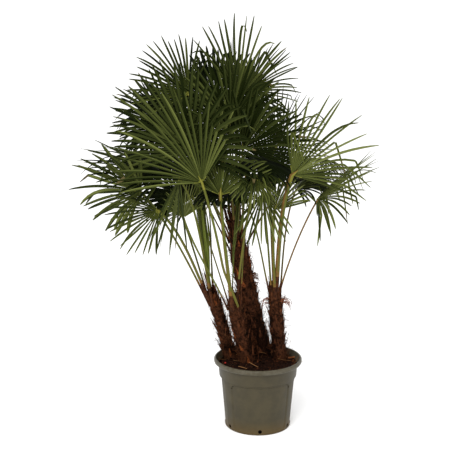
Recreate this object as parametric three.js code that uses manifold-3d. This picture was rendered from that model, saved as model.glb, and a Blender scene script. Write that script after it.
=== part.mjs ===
// A windmill palm of four stems in a moulded nursery pot.
//
// Millimetres, +Z up. The origin is the centre of the pot's flat underside, +X is the palm's right
// as seen from its front and +Y points to its back.
//
// The plant stands on the pot alone. Each stem is a fibre-clad trunk with a flared foot, set in a
// pocket of the soil. Each frond is one closed solid: a stalk from the trunk's crown to the hub, and
// a fan-shaped blade whose leaflets are joined near the hub and free beyond the notch radius.

import * as THREE from "three";
import { mergeVertices } from "three/addons/utils/BufferGeometryUtils.js";
import Module from "manifold-3d";

const wasm = await Module();
wasm.setup();

// ---------------------------------------------------------------------------- driving dimensions

const GAP = 0.3;

const POT = {
  height: 400,
  baseRadius: 187,
  bodyTopRadius: 213,
  bodyTop: 296,
  collarRadius: 220,
  collarTopRadius: 227,
  lipRadius: 250,
  lipDepth: 28,
  mouthRadius: 239,
  wall: 4,
  floor: 6,
  rimRoll: 4,
  footStep: 5,
  sides: 48,
};

const DRAIN = { count: 6, radius: 11, height: 21, firstAngle: -87.5 };

const SOIL = { edgeDrop: 34, crownRise: 16 };

// Each stem leans from its foot in the soil to its crown. Its leaf bases wind up it in `whorls`
// rows. `crown` is the point that its fronds' stalks are measured from.
const STEMS = {
  left: {
    foot: [-145, 90], top: [-264, 99, 772], bow: [0, 0],
    footRadius: 35, waistRadius: 33, neckRadius: 20, flare: 8,
    crown: [-275, 100, 790], crownDepth: 60, rings: 12,
  },
  front: {
    foot: [-46, -2], top: [-147, -28, 782], bow: [-4, 0],
    footRadius: 44, waistRadius: 41, neckRadius: 20, flare: 16,
    crown: [-155, -30, 800], crownDepth: 75, rings: 12,
  },
  tall: {
    foot: [48, 125], top: [-140, 120, 1206], bow: [-18, 4],
    footRadius: 57, waistRadius: 52, neckRadius: 26, flare: 6,
    crown: [-136, 120, 1170], crownDepth: 190, rings: 20,
  },
  right: {
    foot: [124, 35], top: [87, 58, 816], bow: [4, 0],
    footRadius: 38, waistRadius: 37, neckRadius: 20, flare: 8,
    crown: [85, 60, 830], crownDepth: 65, rings: 12,
  },
};

const BARK = { sides: 12, sunk: 34, relief: 3, whorls: 3, whorlRise: 150 };

// A leaflet's folded section at the notch: its edge thickness and the depth of its keel. It thins to a
// blunt tip. `pitch` is the angle between leaflets.
const LEAFLET = { pitch: 6.9, edge: 2.6, keel: 8, tipWidth: 8, leastShare: 0.45 };

// A stalk leaves its trunk between the trunk's own way and the straight way to the hub, and reaches the
// hub already nodding by a share of the blade's nod.
const STALK = {
  width: 15,
  depth: 10,
  baseWidth: 26,
  baseHeight: 34,
  hubWidth: 15,
  hubDepth: 11,
  steps: 5,
  straightness: 0.75,
  nodShare: 0.3,
};

const BLADE = {
  spread: 110,
  notch: 0.37,
  notchJitter: 0.05,
  shortSides: 0.24,
  lengthJitter: 0.05,
  cup: 0.16,
  sag: 0.12,
  sagJitter: 0.06,
};

// A frond is told by the way its stalk goes (heading from +X towards +Y, lean from upright), the
// stalk's length, how far the blade nods beyond the stalk, and the blade's length. `turn` swings the
// blade sideways, `twist` rolls it, `spread` is half the angle that its leaflets open to, and `sag`
// bends their free ends down.
const FRONDS = {
  front: [
    { heading: 238, lean: 24, stalk: 705, nod: 5, blade: 510, turn: -62, twist: 99, spread: 66 },
    { heading: 251, lean: 17, stalk: 590, nod: -11, blade: 330, turn: 164, twist: -148, spread: 72 },
    { heading: 185, lean: 32, stalk: 490, nod: -9, blade: 205, turn: -100, twist: 157, spread: 65 },
    { heading: 304, lean: 19, stalk: 695, nod: 131, blade: 185, turn: -39, twist: 5, spread: 75, sag: 0.3 },
    { heading: 134, lean: 32, stalk: 585, nod: 10, blade: 360, turn: -3 },
    { heading: 6, lean: 4, stalk: 260, nod: 1, blade: 460, spread: 8 },
    { heading: 324, lean: 14, stalk: 675, nod: 59, blade: 230, spread: 80, turn: -19, sag: 0.7 },
  ],
  right: [
    { heading: 290, lean: 21, stalk: 685, nod: 27, blade: 475, turn: 72, twist: -85, spread: 60 },
    { heading: 348, lean: 27, stalk: 540, nod: 23, blade: 410, twist: 10, spread: 100, turn: 2, sag: 0.35 },
    { heading: 269, lean: 19, stalk: 460, nod: 7, blade: 215, turn: 126, twist: -141, spread: 60 },
    { heading: 242, lean: 15, stalk: 545, nod: 138, blade: 300, spread: 46, turn: 28 },
    { heading: 202, lean: 22, stalk: 610, nod: 80, blade: 280, spread: 85, sag: 0.6 },
    { heading: 73, lean: 30, stalk: 615, nod: 54, blade: 390, turn: 22 },
    { heading: 94, lean: 19, stalk: 675, nod: 21, blade: 465 },
    { heading: 35, lean: 17, stalk: 540, nod: 42, blade: 295, spread: 95, turn: -27 },
    { heading: 150, lean: 3, stalk: 380, nod: 1, blade: 450, spread: 7 },
  ],
  left: [
    { heading: 200, lean: 33, stalk: 545, nod: 72, blade: 310, turn: -8, twist: -52, spread: 72 },
    { heading: 179, lean: 35, stalk: 665, nod: 38, blade: 400, turn: -2, twist: 55, spread: 85 },
    { heading: 152, lean: 26, stalk: 690, nod: 40, blade: 490, turn: 1 },
    { heading: 191, lean: 6, stalk: 150, nod: 0, blade: 560, spread: 8 },
    { heading: 246, lean: 29, stalk: 770, nod: 133, blade: 400, spread: 30, turn: -24 },
    { heading: 96, lean: 29, stalk: 580, nod: 63, blade: 550, turn: 29 },
    { heading: 98, lean: 35, stalk: 520, nod: 64, blade: 395, turn: 30 },
  ],
  tall: [
    { heading: 281, lean: 7, stalk: 690, nod: 2, blade: 460, turn: 144, twist: -125, spread: 48 },
    { heading: 120, lean: 2, stalk: 520, nod: 1, blade: 500, spread: 9 },
    { heading: 155, lean: 22, stalk: 755, nod: 23, blade: 355, turn: 26, twist: -72, spread: 78 },
    { heading: 123, lean: 16, stalk: 660, nod: -5, blade: 340, turn: -58, twist: 7, spread: 90 },
    { heading: 159, lean: 36, stalk: 660, nod: 22, blade: 350, turn: 15, twist: -64, spread: 95 },
    { heading: 173, lean: 37, stalk: 660, nod: -3, blade: 310, twist: -25, turn: -33 },
    { heading: 223, lean: 38, stalk: 530, nod: -16, blade: 520, turn: 21 },
    { heading: 261, lean: 17, stalk: 580, nod: -11, blade: 375, turn: 154, twist: -147, spread: 95 },
    { heading: 282, lean: 26, stalk: 480, nod: 8, blade: 420, turn: -15 },
    { heading: 304, lean: 25, stalk: 425, nod: 84, blade: 300, spread: 85, turn: 25, sag: 0.6 },
    { heading: 2, lean: 6, stalk: 725, nod: 51, blade: 305, turn: -7, twist: 59, spread: 75 },
    { heading: 16, lean: 31, stalk: 490, nod: -6, blade: 325, turn: 1, twist: 55, spread: 80 },
    { heading: 89, lean: 36, stalk: 630, nod: 19, blade: 380, turn: 25 },
    { heading: 118, lean: 47, stalk: 485, nod: 11, blade: 420, turn: 35 },
    { heading: 5, lean: 51, stalk: 560, nod: 45, blade: 280, turn: -19, sag: 0.5 },
    { heading: 80, lean: 57, stalk: 500, nod: 41, blade: 420, turn: 20 },
  ],
};

// --------------------------------------------------------------------------------- small helpers

const radians = THREE.MathUtils.degToRad;

const at = (x, y, z) => new THREE.Vector3(x, y, z);

const UP = at(0, 0, 1);

/** A repeatable stream of numbers from 0 to 1, the same for the same seed. */
function stream(seed) {
  let state = seed >>> 0;
  return () => {
    state = (state + 0x6d2b79f5) >>> 0;
    let mixed = Math.imul(state ^ (state >>> 15), state | 1);
    mixed ^= mixed + Math.imul(mixed ^ (mixed >>> 7), mixed | 61);
    return ((mixed ^ (mixed >>> 14)) >>> 0) / 4294967296;
  };
}

/** The direction that leans `lean` degrees from upright towards the compass `heading`. */
function direction(heading, lean) {
  const out = Math.sin(radians(lean));
  return at(out * Math.cos(radians(heading)), out * Math.sin(radians(heading)), Math.cos(radians(lean)));
}

/** A geometry from a list of points and a list of triangles that index them. */
function faceted(points, triangles) {
  const geometry = new THREE.BufferGeometry();
  geometry.setAttribute("position", new THREE.Float32BufferAttribute(points.flatMap((p) => p.toArray()), 3));
  geometry.setIndex(triangles.flat());
  return geometry;
}

/** The closed skin through a row of rings, each a loop of the same number of points. */
function loft(rings) {
  const sides = rings[0].length;
  const points = rings.flat();
  const triangles = [];
  for (let k = 0; k + 1 < rings.length; k++) {
    for (let j = 0; j < sides; j++) {
      const [a, b] = [k * sides + j, k * sides + ((j + 1) % sides)];
      triangles.push([a, b, b + sides], [a, b + sides, a + sides]);
    }
  }
  const centre = (ring) => ring.reduce((sum, p) => sum.add(p), at(0, 0, 0)).divideScalar(sides);
  const bottom = points.push(centre(rings[0])) - 1;
  const top = points.push(centre(rings.at(-1))) - 1;
  const last = (rings.length - 1) * sides;
  for (let j = 0; j < sides; j++) {
    const next = (j + 1) % sides;
    triangles.push([bottom, next, j], [top, last + j, last + next]);
  }
  return faceted(points, triangles);
}

/** A manifold-3d solid from a closed three.js geometry. */
function toSolid(geometry) {
  const bare = geometry.clone();
  bare.deleteAttribute("normal");
  bare.deleteAttribute("uv");
  const merged = mergeVertices(bare, 1e-3);
  return new wasm.Manifold(
    new wasm.Mesh({
      numProp: 3,
      vertProperties: new Float32Array(merged.attributes.position.array),
      triVerts: new Uint32Array(merged.index.array),
    }),
  );
}

/** A three.js geometry from a manifold-3d solid. */
function toGeometry(solid) {
  const mesh = solid.getMesh();
  const geometry = new THREE.BufferGeometry();
  geometry.setAttribute("position", new THREE.BufferAttribute(mesh.vertProperties, 3));
  geometry.setIndex(new THREE.BufferAttribute(mesh.triVerts, 1));
  return geometry;
}

/** A named mesh with its normals worked out and a material of its own. */
function piece(name, geometry, color, roughness) {
  const plain = geometry.index ? geometry.toNonIndexed() : geometry;
  plain.computeVertexNormals();
  const material = new THREE.MeshStandardMaterial({ color, roughness, metalness: 0 });
  const mesh = new THREE.Mesh(plain, material);
  mesh.name = name;
  return mesh;
}

// ------------------------------------------------------------------------------------------- pot

/** A closed solid of revolution about Z from [radius, height] pairs, listed from the foot up. */
function turned(profile) {
  const points = profile.map(([radius, height]) => new THREE.Vector2(radius, height));
  return new THREE.LatheGeometry(points, POT.sides).rotateX(Math.PI / 2);
}

/** The pot's inner radius at a height, from the floor to the mouth. */
function innerRadius(height) {
  const { baseRadius, bodyTopRadius, bodyTop, wall } = POT;
  return THREE.MathUtils.lerp(baseRadius, bodyTopRadius, height / bodyTop) - wall;
}

/** The pot: tapering body, collar, turned-out lip, and drain holes round the foot. */
function buildPot() {
  const p = POT;
  const lipFoot = p.height - p.lipDepth;
  const shell = turned([
    [0, 0],
    [p.baseRadius - p.footStep, 0],
    [p.baseRadius, p.footStep],
    [p.bodyTopRadius, p.bodyTop],
    [p.collarRadius, p.bodyTop + 3],
    [p.collarTopRadius, lipFoot],
    [p.lipRadius - 5, lipFoot],
    [p.lipRadius, lipFoot + 8],
    [p.lipRadius, p.height - p.rimRoll * 2],
    [p.lipRadius - p.rimRoll, p.height],
    [p.mouthRadius + 2, p.height],
    [p.mouthRadius, p.height - 3],
    [p.collarTopRadius - p.wall, lipFoot - 4],
    [p.collarRadius - p.wall, p.bodyTop + 8],
    [innerRadius(p.bodyTop), p.bodyTop - 2],
    [innerRadius(p.floor), p.floor],
    [0, p.floor],
  ]);
  let pot = toSolid(shell);
  for (let k = 0; k < DRAIN.count; k++) {
    const angle = radians(DRAIN.firstAngle + (k * 360) / DRAIN.count);
    const drill = new THREE.CylinderGeometry(DRAIN.radius, DRAIN.radius, 30, 12).rotateZ(Math.PI / 2);
    drill.translate(p.baseRadius, 0, DRAIN.height).rotateZ(angle);
    pot = pot.subtract(toSolid(drill));
  }
  return toGeometry(pot);
}

/** The soil: it fills the pot to below the lip, heaped a little to the stems, with their pockets. */
function buildSoil(stems) {
  const p = POT;
  const edge = p.height - SOIL.edgeDrop;
  const edgeRadius = p.collarTopRadius - p.wall - 2 * GAP;
  let soil = toSolid(
    turned([
      [0, p.floor + GAP],
      [innerRadius(p.floor) - GAP, p.floor + GAP],
      [innerRadius(p.bodyTop) - GAP, p.bodyTop],
      [p.collarRadius - p.wall - GAP, p.bodyTop + 10],
      [edgeRadius - 0.5, edge - 3],
      [edgeRadius - 0.5, edge],
      [150, edge + SOIL.crownRise * 0.6],
      [70, edge + SOIL.crownRise],
      [0, edge + SOIL.crownRise * 0.9],
    ]),
  );
  for (const stem of stems) soil = soil.subtract(toSolid(stem.geometry(GAP)));
  return toGeometry(soil);
}

// ----------------------------------------------------------------------------------------- stems

/** One trunk: a leaning, slightly bowed axis with a radius that falls from flared foot to neck. */
class Stem {
  constructor(sizes) {
    Object.assign(this, sizes);
    const foot = at(...this.foot, POT.height - SOIL.edgeDrop - BARK.sunk);
    const top = at(...this.top);
    const middle = foot.clone().lerp(top, 0.5).add(at(this.bow[0] * 2, this.bow[1] * 2, 0));
    this.axis = new THREE.QuadraticBezierCurve3(foot, middle, top);
    this.height = top.z - foot.z;
    this.footHeight = foot.z;
    this.seats = [];
  }

  /** How far up the axis a height is, from 0 at the foot to 1 at the top. */
  share(height) {
    return THREE.MathUtils.clamp((height - this.footHeight) / this.height, 0, 1);
  }

  /** The trunk's mean radius at a share of its height. */
  radius(share) {
    const body = THREE.MathUtils.lerp(this.footRadius, this.waistRadius, Math.min(share / 0.7, 1));
    const neck = THREE.MathUtils.smoothstep(share, 0.7, 1);
    const flare = this.flare * Math.exp((-share * this.height) / 55);
    return THREE.MathUtils.lerp(body, this.neckRadius, neck) + flare;
  }

  /**
   * The height at which a stalk leaves the crown: the further out it leans the lower, and below any
   * stalk base that it would otherwise sit on. A closed young leaf stands on the trunk's tip.
   */
  seat(heading, lean, closed) {
    if (closed) return this.top[2];
    let height = this.top[2] - 20 - this.crownDepth * Math.min(lean / 60, 1);
    const crowds = (other) => {
      const apart = Math.abs(((heading - other.heading + 540) % 360) - 180);
      const across = radians(apart) * (this.neckRadius + STALK.depth);
      return across < STALK.baseWidth + 2 && Math.abs(height - other.height) < STALK.baseHeight + 2;
    };
    while (this.seats.some(crowds)) height -= 4;
    this.seats.push({ heading, height });
    return height;
  }

  /** The rods that stand for the trunk. */
  rods(owner) {
    const steps = Math.round(this.rings / 2);
    return Array.from({ length: steps }, (_, k) => {
      const [from, to] = [k / steps, (k + 1) / steps];
      const radii = [from, to].map((share) => this.radius(share) + BARK.relief);
      return new Rod(this.axis.getPoint(from), this.axis.getPoint(to), ...radii, owner);
    });
  }

  /** The trunk's closed skin, grown outwards by `extra`, with the winding rows of leaf bases. */
  geometry(extra = 0) {
    const rings = [];
    for (let k = 0; k <= this.rings; k++) {
      const share = k / this.rings;
      const centre = this.axis.getPoint(share);
      const radius = this.radius(share) + extra;
      const ring = [];
      for (let j = 0; j < BARK.sides; j++) {
        const angle = (j / BARK.sides) * 2 * Math.PI;
        const row = BARK.whorls * angle + (2 * Math.PI * centre.z) / BARK.whorlRise;
        const reach = radius + BARK.relief * Math.cos(row);
        ring.push(at(centre.x + reach * Math.cos(angle), centre.y + reach * Math.sin(angle), centre.z));
      }
      rings.push(ring);
    }
    rings[0].forEach((point) => (point.z -= extra));
    return loft(rings);
  }
}

// ------------------------------------------------------------------------------- keeping leaves apart

/** The nearest points of two segments, as shares along each and the distance between them. */
function nearest(p, q) {
  const u = q.span;
  const v = p.span;
  const w = p.from.clone().sub(q.from);
  const [a, b, c, d, e] = [v.dot(v), v.dot(u), u.dot(u), v.dot(w), u.dot(w)];
  const clamp = (x) => THREE.MathUtils.clamp(x, 0, 1);
  const flat = a * c - b * b;
  let s = flat > 1e-9 ? clamp((b * e - c * d) / flat) : 0;
  const t = clamp((b * s + e) / c);
  s = clamp((b * t - d) / a);
  const gap = w.addScaledVector(v, s).addScaledVector(u, -t).length();
  return { s, t, gap };
}

/** A tapering rod from one point to another, the simple stand-in for a leaflet, stalk or trunk. */
class Rod {
  constructor(from, to, fromRadius, toRadius, owner) {
    this.from = from;
    this.span = to.clone().sub(from);
    this.radii = [fromRadius, toRadius];
    this.owner = owner;
    this.middle = from.clone().lerp(to, 0.5);
    this.reach = this.span.length() / 2 + Math.max(fromRadius, toRadius);
  }

  /** The rod's radius at a share of its length. */
  radius(share) {
    return THREE.MathUtils.lerp(this.radii[0], this.radii[1], share);
  }
}

/** Every rod placed so far, to find how far a new one can go before it touches another's. */
class Thicket {
  constructor() {
    this.rods = [];
  }

  add(rod) {
    this.rods.push(rod);
  }

  /** The share of a rod that is free of every other owner's rods. */
  freeShare(rod) {
    let free = 1;
    for (const other of this.rods) {
      if (other.owner === rod.owner) continue;
      if (other.middle.distanceTo(rod.middle) > other.reach + rod.reach) continue;
      const { s, t, gap } = nearest(rod, other);
      if (gap < rod.radius(s) + other.radius(t) + 2 * GAP) free = Math.min(free, s);
    }
    return free;
  }
}

// ---------------------------------------------------------------------------------------- fronds

/** One frond: where its stalk runs, how its blade lies, and its leaflets one by one. */
class Frond {
  constructor(name, stem, row, seed) {
    this.name = name;
    this.stem = stem;
    this.closed = row.spread < 20;
    this.random = stream(seed);
    Object.assign(this, { turn: 0, twist: 0, spread: BLADE.spread, sag: BLADE.sag }, row);
    this.hub = at(...stem.crown).addScaledVector(direction(this.heading, this.lean), this.stalk);
    this.axis = direction(this.heading + this.turn, this.lean + this.nod);
    const level = at(0, 0, 0).crossVectors(UP, direction(this.heading + this.turn, 90));
    this.side = level.applyAxisAngle(this.axis, radians(this.twist));
    this.face = at(0, 0, 0).crossVectors(this.axis, this.side);
    this.count = Math.max(4, Math.round((2 * this.spread) / LEAFLET.pitch));
    this.layStalk();
    this.layLeaflets();
  }

  /** The stalk's rings: a clasping base on the trunk, then slim diamonds that twist to the hub's plane. */
  layStalk() {
    const { stem } = this;
    const share = stem.share(stem.seat(this.heading, this.lean, this.closed));
    const up = stem.axis.getTangent(share);
    const side = at(0, 0, 0).crossVectors(UP, direction(this.heading, 90));
    const out = at(0, 0, 0).crossVectors(side, up).normalize();
    const widest = stem.radius(share - STALK.baseHeight / stem.height) + BARK.relief;
    const foot = stem.axis.getPoint(share).addScaledVector(out, widest + 1);
    if (this.closed) foot.copy(stem.axis.getPoint(1)).add(at(0, 0, GAP + 1));
    const length = foot.distanceTo(this.hub);
    const straight = this.hub.clone().sub(foot).normalize();
    const leave = up.clone().lerp(straight, STALK.straightness).normalize();
    const arrive = straight.clone().lerp(this.axis, STALK.nodShare).normalize();
    this.path = new THREE.CubicBezierCurve3(
      foot,
      foot.clone().addScaledVector(leave, length * 0.3),
      this.hub.clone().addScaledVector(arrive, -length * 0.3),
      this.hub,
    );
    this.stalkRings = [
      this.closed
        ? this.diamond(foot, side, out.clone().negate(), STALK.width / 2, STALK.depth / 2)
        : this.diamond(foot, side, up, STALK.baseWidth / 2, STALK.baseHeight / 2),
    ];
    for (let k = 1; k < STALK.steps; k++) {
      const along = (k - 0.4) / (STALK.steps - 0.4);
      const tangent = this.path.getTangent(along);
      const wide = side.clone().lerp(this.side, along * along);
      const face = at(0, 0, 0).crossVectors(tangent, wide).normalize();
      wide.crossVectors(face, tangent);
      const point = this.path.getPoint(along);
      this.stalkRings.push(this.diamond(point, wide, face, STALK.width / 2, STALK.depth / 2));
    }
    this.stalkRings.push(
      this.diamond(this.hub, this.side, this.face, STALK.hubWidth / 2, STALK.hubDepth / 2),
    );
  }

  /** Four points round a centre: over, towards +side, under, towards -side. */
  diamond(centre, side, face, halfWidth, halfDepth) {
    return [
      centre.clone().addScaledVector(face, halfDepth),
      centre.clone().addScaledVector(side, halfWidth),
      centre.clone().addScaledVector(face, -halfDepth),
      centre.clone().addScaledVector(side, -halfWidth),
    ];
  }

  /** The blade's own direction at an angle from its axis, with its sides bent back a little. */
  ray(angle) {
    const back = BLADE.cup * (1 - Math.cos(angle));
    return this.axis
      .clone()
      .multiplyScalar(Math.cos(angle))
      .addScaledVector(this.side, Math.sin(angle))
      .addScaledVector(this.face, -back)
      .normalize();
  }

  /** Each leaflet's own length, sag and seam, before it is kept clear of other fronds. */
  layLeaflets() {
    const { random, count } = this;
    const spread = radians(this.spread);
    this.seams = [];
    for (let i = 0; i <= count; i++) {
      const angle = ((2 * i) / count - 1) * spread;
      this.seams.push({ angle, radius: this.blade * (BLADE.notch + BLADE.notchJitter * (2 * random() - 1)) });
    }
    this.leaflets = [];
    for (let i = 0; i < count; i++) {
      const across = (2 * i + 1) / count - 1;
      const length = 1 - BLADE.shortSides * across * across * (this.spread / BLADE.spread);
      this.leaflets.push({
        angle: across * spread,
        length: this.blade * length * (1 + BLADE.lengthJitter * (2 * random() - 1)),
        sag: this.sag + BLADE.sagJitter * (2 * random() - 1),
        free: 1,
        bend: 0,
      });
    }
  }

  /** The rods that stand for the stalk. */
  stalkRods() {
    const centres = this.stalkRings.map((ring) => ring[0].clone().lerp(ring[2], 0.5));
    const radius = STALK.width / 2;
    return centres.slice(1).map((to, k) => new Rod(centres[k], to, radius, radius, this.name));
  }

  /** A rod in the joined part of the blade, from the hub out to a radius. */
  webRod(angle, radius) {
    const to = this.hub.clone().addScaledVector(this.ray(angle), radius);
    return new Rod(this.hub, to, STALK.hubDepth / 2, LEAFLET.keel * 0.75, this.name);
  }

  /** Half a leaflet's width at a distance from the hub. */
  halfWidth(radius) {
    return radius * Math.sin(radians(this.spread) / this.count);
  }

  /** The tip of a leaflet that is bent by `bend` out of the blade and cut to a share of its length. */
  tip(leaflet, notch, bend, share) {
    const ray = this.ray(leaflet.angle);
    const free = ray
      .clone()
      .addScaledVector(UP, -leaflet.sag)
      .addScaledVector(this.face, bend)
      .normalize();
    return this.hub
      .clone()
      .addScaledVector(ray, notch)
      .addScaledVector(free, (leaflet.length - notch) * share);
  }

  /** The rod from a leaflet's notch to a share of its free length. */
  bladeRod(leaflet, notch, bend, share) {
    const from = this.hub.clone().addScaledVector(this.ray(leaflet.angle), notch);
    const to = this.tip(leaflet, notch, bend, share);
    return new Rod(from, to, this.halfWidth(notch) * 0.8, LEAFLET.tipWidth / 2, this.name);
  }

  /** Draws the joined part of the blade in wherever it would touch another frond or a trunk. */
  fitWeb(thicket) {
    this.leaflets.forEach((leaflet, i) => {
      const wanted = Math.min(this.seams[i].radius, this.seams[i + 1].radius);
      const share = thicket.freeShare(this.webRod(leaflet.angle, wanted));
      if (share === 1) return;
      leaflet.free = 0;
      const radius = Math.max(wanted * share - 30, 26);
      for (const seam of [this.seams[i], this.seams[i + 1]]) seam.radius = Math.min(seam.radius, radius);
    });
    for (const leaflet of this.leaflets) thicket.add(this.webRod(leaflet.angle, this.notch(leaflet)));
    for (const { angle, radius } of this.seams) thicket.add(this.webRod(angle, radius));
  }

  /** The mean radius of the two seams beside a leaflet. */
  notch(leaflet) {
    const i = this.leaflets.indexOf(leaflet);
    return (this.seams[i].radius + this.seams[i + 1].radius) / 2;
  }

  /** Bends, shortens or drops each leaflet until it is clear of what stands already. */
  fitLeaflets(thicket) {
    const bends = [0, 0.07, -0.07, 0.14, -0.14, 0.22, -0.22, 0.3, -0.3];
    for (const leaflet of this.leaflets) {
      if (!leaflet.free) continue;
      const notch = this.notch(leaflet);
      let best = { free: 0, bend: 0 };
      for (const bend of bends) {
        const free = thicket.freeShare(this.bladeRod(leaflet, notch, bend, 1));
        if (free > best.free) best = { free, bend };
        if (free === 1) break;
      }
      const keep = best.free === 1 ? 1 : best.free - 0.08;
      leaflet.free = keep >= LEAFLET.leastShare ? keep : 0;
      leaflet.bend = best.bend;
      if (leaflet.free) thicket.add(this.bladeRod(leaflet, notch, leaflet.bend, leaflet.free));
    }
  }

  /** The frond's closed skin. */
  geometry() {
    const points = [];
    const triangles = [];
    const put = (point) => points.push(point) - 1;
    const rings = this.stalkRings.map((ring) => ring.map(put));
    for (let k = 0; k + 1 < rings.length; k++) {
      for (let j = 0; j < 4; j++) {
        const [a, b] = [rings[k][j], rings[k][(j + 1) % 4]];
        const [c, d] = [rings[k + 1][(j + 1) % 4], rings[k + 1][j]];
        triangles.push([a, d, c], [a, c, b]);
      }
    }
    const foot = rings[0];
    triangles.push([foot[0], foot[1], foot[2]], [foot[0], foot[2], foot[3]]);

    const [over, plus, under, minus] = rings.at(-1);
    const seams = this.seams.map(({ angle, radius }) => {
      const point = this.hub.clone().addScaledVector(this.ray(angle), radius);
      const half = LEAFLET.edge / 2;
      return {
        top: put(point.clone().addScaledVector(this.face, half)),
        bottom: put(point.clone().addScaledVector(this.face, -half)),
      };
    });
    this.leaflets.forEach((leaflet, i) => {
      const [a, b] = [seams[i], seams[i + 1]];
      const notch = this.notch(leaflet);
      const fold = this.hub.clone().addScaledVector(this.ray(leaflet.angle), notch);
      const depth = Math.min(LEAFLET.keel, notch * 0.1) - LEAFLET.edge / 2;
      const keel = put(fold.addScaledVector(this.face, -depth));
      triangles.push([over, a.top, b.top], [under, keel, a.bottom], [under, b.bottom, keel]);
      if (leaflet.free) {
        const tip = this.tip(leaflet, notch, leaflet.bend, leaflet.free);
        const across = at(0, 0, 0).crossVectors(this.face, this.ray(leaflet.angle)).normalize();
        const c = put(tip.clone().addScaledVector(across, -LEAFLET.tipWidth / 2));
        const d = put(tip.clone().addScaledVector(across, LEAFLET.tipWidth / 2));
        triangles.push([a.top, c, d], [a.top, d, b.top], [a.top, a.bottom, c], [b.top, d, b.bottom]);
        triangles.push([a.bottom, keel, c], [keel, d, c], [keel, b.bottom, d]);
      } else {
        triangles.push([a.top, a.bottom, keel], [a.top, keel, b.top], [b.top, keel, b.bottom]);
      }
    });
    const [first, last] = [seams[0], seams.at(-1)];
    triangles.push([first.top, over, minus], [first.top, minus, first.bottom], [minus, under, first.bottom]);
    triangles.push([plus, over, last.top], [plus, last.top, last.bottom], [plus, last.bottom, under]);
    return faceted(points, triangles);
  }
}

// -------------------------------------------------------------------------------------- assembly

/** The fronds of every stem, each kept clear of the trunks and of the fronds before it. */
function growFronds(stems, table) {
  const fronds = Object.entries(table).flatMap(([name, rows], group) =>
    rows.map((row, k) => {
      const label = `frond_${name}_${String(k + 1).padStart(2, "0")}`;
      return new Frond(label, stems[name], row, 1000 * (group + 1) + k);
    }),
  );
  const thicket = new Thicket();
  for (const [name, stem] of Object.entries(stems)) stem.rods(name).forEach((rod) => thicket.add(rod));
  for (const frond of fronds) frond.stalkRods().forEach((rod) => thicket.add(rod));
  for (const frond of fronds) frond.fitWeb(thicket);
  for (const frond of fronds) frond.fitLeaflets(thicket);
  return fronds;
}

const stems = Object.fromEntries(Object.entries(STEMS).map(([name, sizes]) => [name, new Stem(sizes)]));
const fronds = growFronds(stems, FRONDS);

const palm = new THREE.Group();
palm.name = "windmill_palm_in_pot";
palm.add(piece("pot", buildPot(), 0x575546, 0.55));
palm.add(piece("soil", buildSoil(Object.values(stems)), 0x1d0f09, 0.95));
for (const [name, stem] of Object.entries(stems)) {
  palm.add(piece(`trunk_${name}`, stem.geometry(), 0x3a2216, 0.95));
}
for (const frond of fronds) {
  palm.add(piece(frond.name, frond.geometry(), frond.stem === stems.tall ? 0x2c3a1c : 0x4f5c28, 0.6));
}

export default palm;
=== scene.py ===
"""Dresses a windmill palm of four stems in its moulded nursery pot.

Lengths are millimetres in the size tables and metres in the meshes. The frame is the solids' own:
+Z up, the origin at the centre of the pot's flat underside, +X the palm's right, +Y its back.
"""

import logging
import math
from dataclasses import dataclass, field, fields
from enum import Enum
from typing import Sequence

import bmesh
import bpy
import numpy as np
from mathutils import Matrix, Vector, noise

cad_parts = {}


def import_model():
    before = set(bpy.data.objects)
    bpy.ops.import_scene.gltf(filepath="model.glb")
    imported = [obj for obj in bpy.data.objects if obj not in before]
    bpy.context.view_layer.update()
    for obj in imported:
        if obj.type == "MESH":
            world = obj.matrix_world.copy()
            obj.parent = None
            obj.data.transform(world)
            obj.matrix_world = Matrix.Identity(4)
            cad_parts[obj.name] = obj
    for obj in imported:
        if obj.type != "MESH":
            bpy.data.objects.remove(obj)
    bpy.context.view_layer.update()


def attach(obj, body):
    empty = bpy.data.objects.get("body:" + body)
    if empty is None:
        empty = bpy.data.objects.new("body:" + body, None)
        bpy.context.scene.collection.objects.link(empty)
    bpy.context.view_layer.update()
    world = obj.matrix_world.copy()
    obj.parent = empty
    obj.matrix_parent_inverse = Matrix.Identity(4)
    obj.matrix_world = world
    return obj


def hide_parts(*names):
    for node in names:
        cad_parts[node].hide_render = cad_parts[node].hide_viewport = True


LOG = logging.getLogger("windmill_palm")

MM = 0.001
UP = np.array([0.0, 0.0, 1.0])
GOLDEN_TURN = 2.39996
ROOT_BODY = "root"

Pair = tuple[float, float]
Triple = tuple[float, float, float]
Point = np.ndarray
Random = np.random.Generator
Piece = bpy.types.Object
Socket = bpy.types.NodeSocket
Tree = bpy.types.NodeTree


# ---- small tools


def unit(vector: Point) -> Point:
    """Returns the vector, or each one of a list, at length 1."""
    return vector / np.linalg.norm(vector, axis=-1, keepdims=True)


def circle(sides: int) -> np.ndarray:
    """Returns evenly spaced turns about an axis, in radians."""
    return np.linspace(0, 2 * math.pi, sides, endpoint=False)


def around(turn: float | np.ndarray, radius: float | np.ndarray = 1.0, height: float = 0.0) -> Point:
    """Returns the points at turns about the upright axis, at a radius from it and a height."""
    return np.stack([radius * np.cos(turn), radius * np.sin(turn), np.zeros_like(turn) + height], axis=-1)


def direction(heading: float, lean: float) -> Point:
    """Returns the unit vector that leans from upright towards a heading from +X, both in degrees."""
    turn, tilt = math.radians(heading), math.radians(lean)
    return around(turn, math.sin(tilt), math.cos(tilt))


def rolled(vector: Point, axis: Point, angle: float) -> Point:
    """Returns the vector turned about a unit axis by radians, by the right-hand rule."""
    cos, sin = math.cos(angle), math.sin(angle)
    return vector * cos + np.cross(axis, vector) * sin + axis * np.dot(axis, vector) * (1 - cos)


def smoothstep(value: float | Point, low: float, high: float) -> float | Point:
    """Eases from 0 at low to 1 at high."""
    share = np.clip((value - low) / (high - low), 0.0, 1.0)
    return share * share * (3 - 2 * share)


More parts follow.
